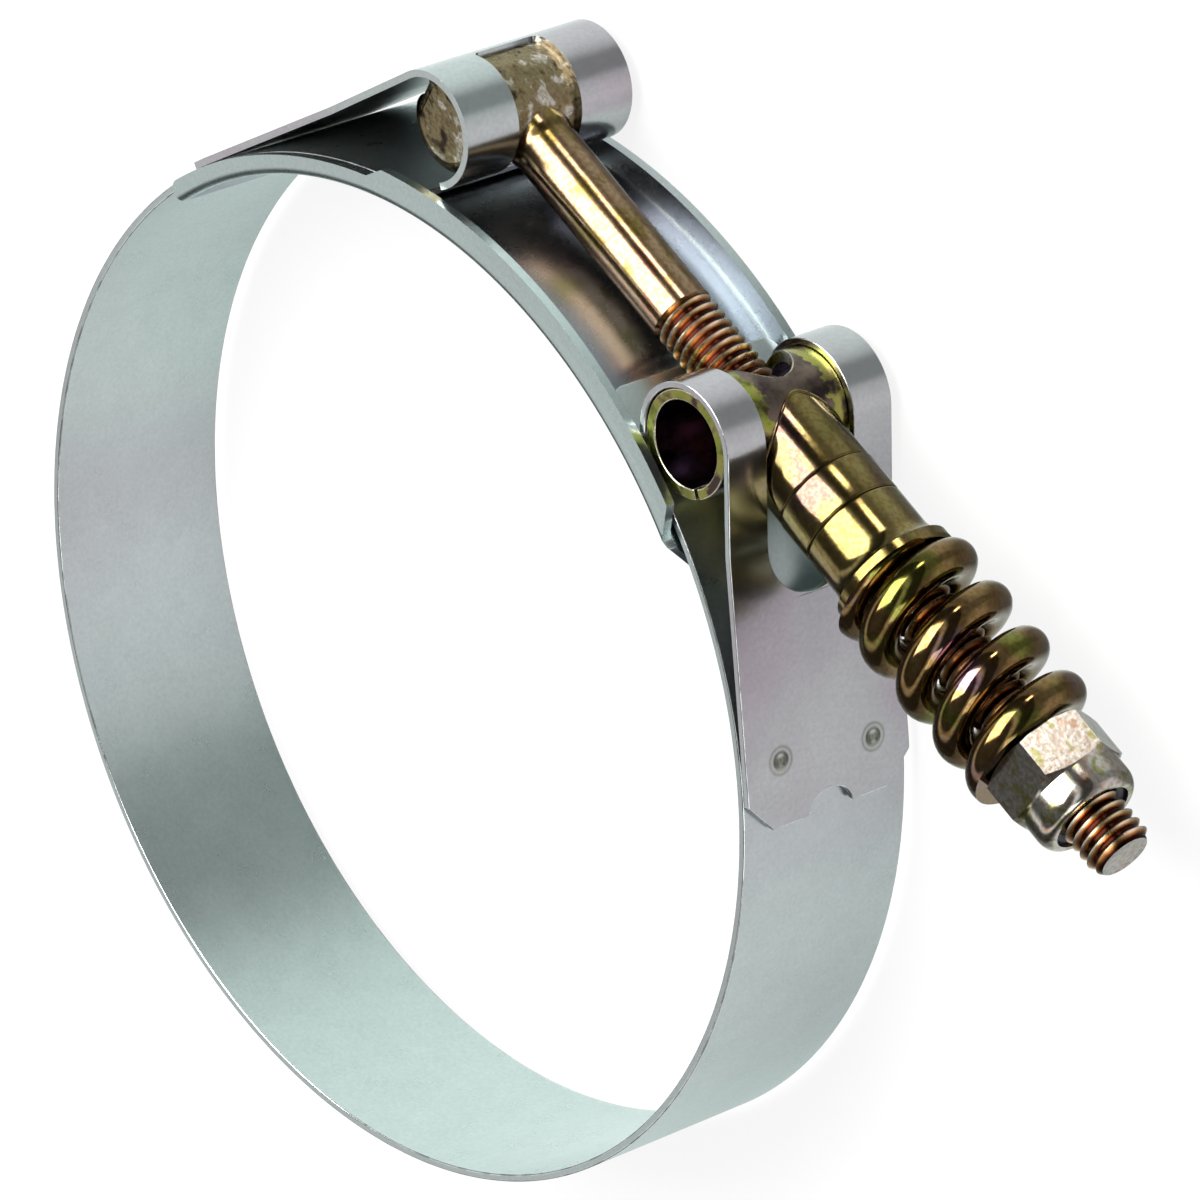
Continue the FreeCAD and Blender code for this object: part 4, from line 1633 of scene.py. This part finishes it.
@dataclass
class Spring:
    """The short coil between the seat and the nut."""

    sizes: SpringSizes = field(default_factory=SpringSizes)
    steps: int = 64
    sides: int = 32

    def lead(self, turn: float) -> float:
        """How far past its ground start the wire's centre has come.

        Args:
            turn: Number of turns from the start.
        Returns:
            The distance.
        """
        s = self.sizes
        length = s.length + 2 * s.ground
        active = length - 2 * s.closed * s.wire
        pitch = active / (s.turns - 2 * s.closed)
        total = 0.0
        for shift in (-0.2, 0.0, 0.2):
            at = turn + shift
            slow = min(at, s.closed) + max(0.0, at - s.turns + s.closed)
            total += slow * s.wire + (at - slow) * pitch
        return total / 3 - s.ground

    def section_point(self, turn: float, share: float) -> Vector:
        """A point on the wire, with what lies past a ground end cut off.

        Args:
            turn: Number of turns from the start.
            share: Place round the wire, from 0 to 1.
        Returns:
            The point.
        """
        s = self.sizes
        wire = s.wire / 2
        along = self.lead(turn)
        way = -1 if turn < s.turns / 2 else 1
        room = along if way < 0 else s.length - along
        first = max(math.acos(max(-1.0, min(1.0, room / wire))), math.pi / self.sides)
        placed = share if way < 0 else (share + 0.5) % 1
        around = first + 2 * (math.pi - first) * placed * self.sides / (self.sides - 1)
        angle = 2 * math.pi * turn
        radius = s.outer_radius - wire + way * wire * math.sin(around)
        return Vector((s.start + along + way * wire * math.cos(around),
                       s.height + radius * math.cos(angle), radius * math.sin(angle)))

    def build(self) -> None:
        """Winds, grinds and dresses the spring."""
        s = self.sizes
        mesh = bmesh.new()
        wound = s.last_turn
        count = round(wound * self.steps)
        spacing = 4 * s.wire
        circle = bmesh.ops.create_circle(mesh, segments=self.sides, radius=s.wire / 2)
        bmesh.ops.translate(mesh, verts=mesh.verts,
                            vec=(0, s.height + s.outer_radius - s.wire / 2, 0))
        bmesh.ops.spin(
            mesh, geom=circle["verts"] + mesh.edges[:], cent=(0, s.height, 0), axis=(1, 0, 0),
            dvec=(spacing * wound / count, 0, 0), steps=count,
            angle=2 * math.pi * wound,
        )
        for vertex in mesh.verts:
            offset = vertex.co - Vector((vertex.co.x, s.height, 0))
            part = math.atan2(offset.z, offset.y) / (2 * math.pi)
            turn = part + round(vertex.co.x / spacing - part)
            turn = round(turn * count / wound) * wound / count
            radial = offset.length - (s.outer_radius - s.wire / 2)
            around = math.atan2(-radial, -(vertex.co.x - turn * spacing)) / (2 * math.pi)
            share = round(around * self.sides - 0.5) % self.sides / self.sides
            vertex.co = self.section_point(turn, share)
        open_edges = [e for e in mesh.edges if e.is_boundary]
        bmesh.ops.holes_fill(mesh, edges=open_edges, sides=0)
        coil = finish_mesh(mesh, "spring_dressed", 40)
        oiled = YellowZinc("spring_zinc", (0.22, 0.145, 0.06), (0.17, 0.17, 0.04),
                           (0.24, 0.15, 0.18), 0.08, 170.0).build()
        dress(coil, oiled, Slot.SPRING, Body.SPRING, "spring")
        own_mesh(coil)
        log.info("spring built")


@dataclass
class LockNut:
    """The hexagon nut with its rounded collar and the ring inside it."""

    sizes: NutSizes = field(default_factory=NutSizes)

    def flat_radius(self, angle: float) -> float:
        """Distance of the hexagon's side from the axis in one direction.

        Args:
            angle: Direction in degrees from a corner.
        Returns:
            The distance.
        """
        turned = (angle % 60) - 30
        return self.sizes.flats / 2 / math.cos(math.radians(turned))

    def body(self) -> bpy.types.Object:
        """Turns the nut's blank and presses its middle to a hexagon.

        Returns:
            The nut.
        """
        s = self.sizes
        corner = s.flats / math.sqrt(3)
        slope = math.tan(math.radians(30))
        face = corner - s.face_inset
        collar = s.collar_radius
        rows = 8
        length = s.hex_end - s.start
        profile: Profile = [
            (s.start + s.lead_in, s.radius + s.thread_gap),
            (s.start, s.radius + s.lead_radius),
            (s.start, face - s.face_edge[1]),
            (s.start + s.face_edge[0], face),
        ]
        profile += [(s.start + length * (k + 0.5) / rows, corner) for k in range(rows)]
        profile += [(s.hex_end + rise, collar) for rise in s.collar_rise]
        rounding = s.collar_round
        for k in range(13):
            turn = math.radians(90 * k / 12)
            profile.append((s.end - rounding * (1 - math.sin(turn)),
                            collar - rounding * s.collar_squash * (1 - math.cos(turn))))
        profile += [(s.end - s.lip[0], s.insert_radius - s.lip[1]),
                    (s.insert[1], s.insert_radius + s.insert_gap),
                    (s.insert[0], s.insert_radius + s.insert_gap),
                    (s.insert[0], s.radius + s.thread_gap)]
        nut = lathe("lock_nut_dressed", profile, s.height, 144, s.turn)
        for vertex in nut.data.vertices:
            away = vertex.co - Vector((vertex.co.x, s.height, 0))
            if away.length < corner - 1e-6:
                continue
            angle = math.degrees(math.atan2(away.z, away.y)) - s.turn
            side = self.flat_radius(angle)
            share = ((vertex.co.x - s.start) / length - 0.5 / rows) * rows / (rows - 1)
            front = s.start + max(0.0, side - face) * slope
            back = s.hex_end - max(0.0, side - collar) * slope
            vertex.co.x = front + (back - front) * share
            vertex.co.yz = (Vector((s.height, 0)) + Vector(away.yz).normalized() * side)
        return self.creased(nut)

    @staticmethod
    def creased(nut: bpy.types.Object) -> bpy.types.Object:
        """Keeps the hexagon's corners and chamfer lines sharp.

        Args:
            nut: The nut after its middle was pressed.
        Returns:
            The same nut.
        """
        mesh = bmesh.new()
        mesh.from_mesh(nut.data)
        mesh.normal_update()
        for edge in mesh.edges:
            edge.smooth = len(edge.link_faces) < 2 or edge.calc_face_angle() < math.radians(24)
        mesh.to_mesh(nut.data)
        mesh.free()
        return nut

    def insert(self) -> bpy.types.Object:
        """Builds the ring that grips the thread.

        Returns:
            The ring.
        """
        s = self.sizes
        start, stop = s.insert[0] + s.lip[0], s.insert[1]
        length, drop = s.insert_crown
        profile: Profile = [(start, s.radius - s.insert_bite), (start, s.insert_radius),
                            (stop, s.insert_radius), (stop + length, s.insert_radius - drop),
                            (stop - length, s.radius)]
        return lathe("nut_insert_dressed", profile, s.height, 64)

    def build(self) -> None:
        """Makes and dresses the nut."""
        bright = YellowZinc("nut_zinc", (0.56, 0.54, 0.5), (0.36, 0.36, 0.17),
                            (0.6, 0.46, 0.36), 0.13, 900.0).build()
        dress(self.body(), bright, Slot.NUT, Body.NUT, "lock_nut")
        dress(self.insert(), DarkPlastic().build(), Slot.PLASTIC, Body.NUT, "nut_insert")
        log.info("lock nut built")


# Studio


@dataclass(frozen=True)
class PhotoCamera:
    """The camera that the photograph was taken with, fitted to the ring and the bolt."""

    turn: tuple[float, float, float] = (-2.5593, -0.0352, 1.1942)
    shift_mm: tuple[float, float, float] = (-12.402, 3.9173, 764.494)
    bolt_turn: float = -39.285
    focal_px: float = 8385.25
    photo_px: float = 1200.0
    sensor_mm: float = 36.0

    def matrix(self) -> Matrix:
        """Where the camera stands in the part's frame.

        Returns:
            The camera's world matrix.
        """
        vector = Vector(self.turn)
        seen = Matrix.Rotation(vector.length, 4, vector.normalized())
        seen = Matrix.Translation(Vector(self.shift_mm) * MM) @ seen
        seen = seen @ Matrix.Rotation(math.radians(self.bolt_turn), 4, "Z")
        flip = Matrix.Diagonal((1, -1, -1, 1))
        return seen.inverted() @ flip

    def build(self) -> None:
        """Puts the camera in the scene."""
        data = bpy.data.cameras.new("photo_camera")
        data.sensor_width = self.sensor_mm
        data.lens = self.sensor_mm * self.focal_px / self.photo_px
        data.clip_start = 0.01
        data.clip_end = 20
        camera = bpy.data.objects.new("photo_camera", data)
        bpy.context.scene.collection.objects.link(camera)
        camera.matrix_world = self.matrix()
        bpy.context.scene.camera = camera


@dataclass(frozen=True)
class Light:
    """One soft box."""

    name: str
    place: tuple[float, float, float]
    size: float
    watts: float
    colour: Colour

    def build(self) -> None:
        """Puts the light in the scene, turned towards the part."""
        data = bpy.data.lights.new(self.name, "AREA")
        data.shape = "SQUARE"
        data.size = self.size
        data.energy = self.watts
        data.color = self.colour
        lamp = bpy.data.objects.new(self.name, data)
        bpy.context.scene.collection.objects.link(lamp)
        place, aim = Vector(self.place), Vector((0.01, 0.01, 0))
        turned = (aim - place).to_track_quat("-Z", "Y")
        lamp.matrix_world = Matrix.Translation(place) @ turned.to_matrix().to_4x4()


@dataclass(frozen=True)
class Studio:
    """A white room with a few soft boxes and darker sides that metal can mirror."""

    floor_z: float = -10.73 * MM
    floor_size: float = 6.0
    floor_level: float = 0.9
    floor_glow: float = 0.86
    glossy_floor: float = 0.15
    room_level: float = 0.6
    horizon: float = 0.05
    lights: tuple[Light, ...] = (
        Light("key", (-0.3, 0.36, 0.66), 0.7, 14.0, (1.0, 0.99, 0.97)),
        Light("low", (-0.3, 0.78, 0.045), 0.14, 0.8, (1.0, 0.94, 0.88)),
        Light("side", (0.75, 0.1, 0.3), 0.3, 0.8, (0.95, 0.98, 1.0)),
    )
    height_cards: tuple[tuple[float, float], ...] = (
        (0.0, 0.1), (0.065, 0.15), (0.14, 1.0), (0.275, 1.0), (0.375, 0.15), (0.5, 0.06),
        (0.7, 0.06), (0.765, 1.0), (0.805, 1.0), (0.85, 0.08), (1.0, 0.15),
    )
    low_cards: tuple[tuple[float, Colour], ...] = (
        (0.0, (0.88, 0.98, 0.96)), (0.13, (0.9, 1.0, 0.98)), (0.24, (0.7, 0.78, 0.77)),
        (0.33, (0.66, 0.7, 0.7)), (0.43, (0.8, 0.88, 0.86)), (0.49, (0.66, 0.6, 0.65)),
        (0.57, (0.74, 0.69, 0.73)), (0.65, (0.5, 0.5, 0.52)), (0.68, (0.08, 0.11, 0.11)),
        (0.77, (0.08, 0.11, 0.11)), (0.81, (0.5, 0.56, 0.55)), (0.86, (0.76, 0.86, 0.84)),
        (0.94, (0.9, 1.0, 0.98)), (1.0, (0.88, 0.98, 0.96)),
    )

    def world(self) -> None:
        """Makes the room: white to the camera, plain for matt surfaces, cards for metal."""
        world = bpy.data.worlds.new("studio")
        bpy.context.scene.world = world
        world.use_nodes = True
        world.node_tree.nodes.clear()
        tree = Tree(world.node_tree)
        direction = tree.node("ShaderNodeTexCoord").outputs["Generated"]
        split = tree.node("ShaderNodeSeparateXYZ")
        tree.link(direction, split.inputs[0])
        around = tree.node("ShaderNodeTexGradient", gradient_type="RADIAL")
        tree.link(direction, around.inputs["Vector"])
        cards = tree.ramp(tree.spread(split.outputs["Z"], 0.0, 1.0, -1.0, 1.0),
                          [(place, grey(level)) for place, level in self.height_cards])
        low_cards = tree.times(cards, tree.ramp(around.outputs["Fac"], self.low_cards))
        above = tree.spread(split.outputs["Z"], 0.0, 1.0, -self.horizon, self.horizon)
        metal = tree.node("ShaderNodeBackground")
        tree.link(tree.mix(above, low_cards, cards), metal.inputs["Color"])
        room = tree.node("ShaderNodeBackground", Color=(*grey(self.room_level), 1))
        white = tree.node("ShaderNodeBackground", Color=(*WHITE, 1))
        path = tree.node("ShaderNodeLightPath").outputs
        shown = tree.blend(path["Is Glossy Ray"], room.outputs[0], metal.outputs[0])
        seen = tree.total(path["Is Camera Ray"], path["Is Transmission Ray"])
        shown = tree.blend(seen, shown, white.outputs[0])
        tree.link(shown, tree.node("ShaderNodeOutputWorld").inputs[0])

    def floor(self) -> None:
        """Lays a plain pale floor under the part, mostly clear to what metal mirrors."""
        mesh = bmesh.new()
        bmesh.ops.create_grid(mesh, x_segments=1, y_segments=1, size=self.floor_size / 2)
        bmesh.ops.translate(mesh, verts=mesh.verts, vec=(0, 0, self.floor_z))
        floor = finish_mesh(mesh, "floor")
        nodes = Nodes("pale_floor")
        nodes.set(Base_Color=(*grey(self.floor_level), 1), Roughness=0.9)
        glow = nodes.node("ShaderNodeEmission", Strength=1.0)
        clear = nodes.node("ShaderNodeBsdfTransparent")
        path = nodes.node("ShaderNodeLightPath").outputs
        seen = nodes.scaled(path["Is Camera Ray"], self.floor_glow)
        surface = nodes.blend(seen, nodes.shader.outputs[0], glow.outputs[0])
        through = nodes.scaled(path["Is Glossy Ray"], 1 - self.glossy_floor)
        surface = nodes.blend(through, surface, clear.outputs[0])
        nodes.link(surface, nodes.tree.nodes["Material Output"].inputs["Surface"])
        floor.data.materials.append(nodes.material)

    def build(self) -> None:
        """Makes the room, the floor and the lights."""
        self.world()
        self.floor()
        for light in self.lights:
            light.build()
        bpy.context.scene.view_settings.view_transform = "Standard"
        log.info("studio built")


def main() -> None:
    """Builds every piece in order."""
    logging.basicConfig(level=logging.INFO, format="%(name)s: %(message)s")
    Ring().build()
    Strap("bolt_strap", BOLT_STRAP, Body.BAND_SIDE).build()
    Strap("nut_strap", NUT_STRAP, Body.BAND_END).build()
    Bolt().build()
    Trunnion().build()
    Spring().build()
    LockNut().build()
    Studio().build()
    PhotoCamera().build()


if __name__ == "__main__":
    main()
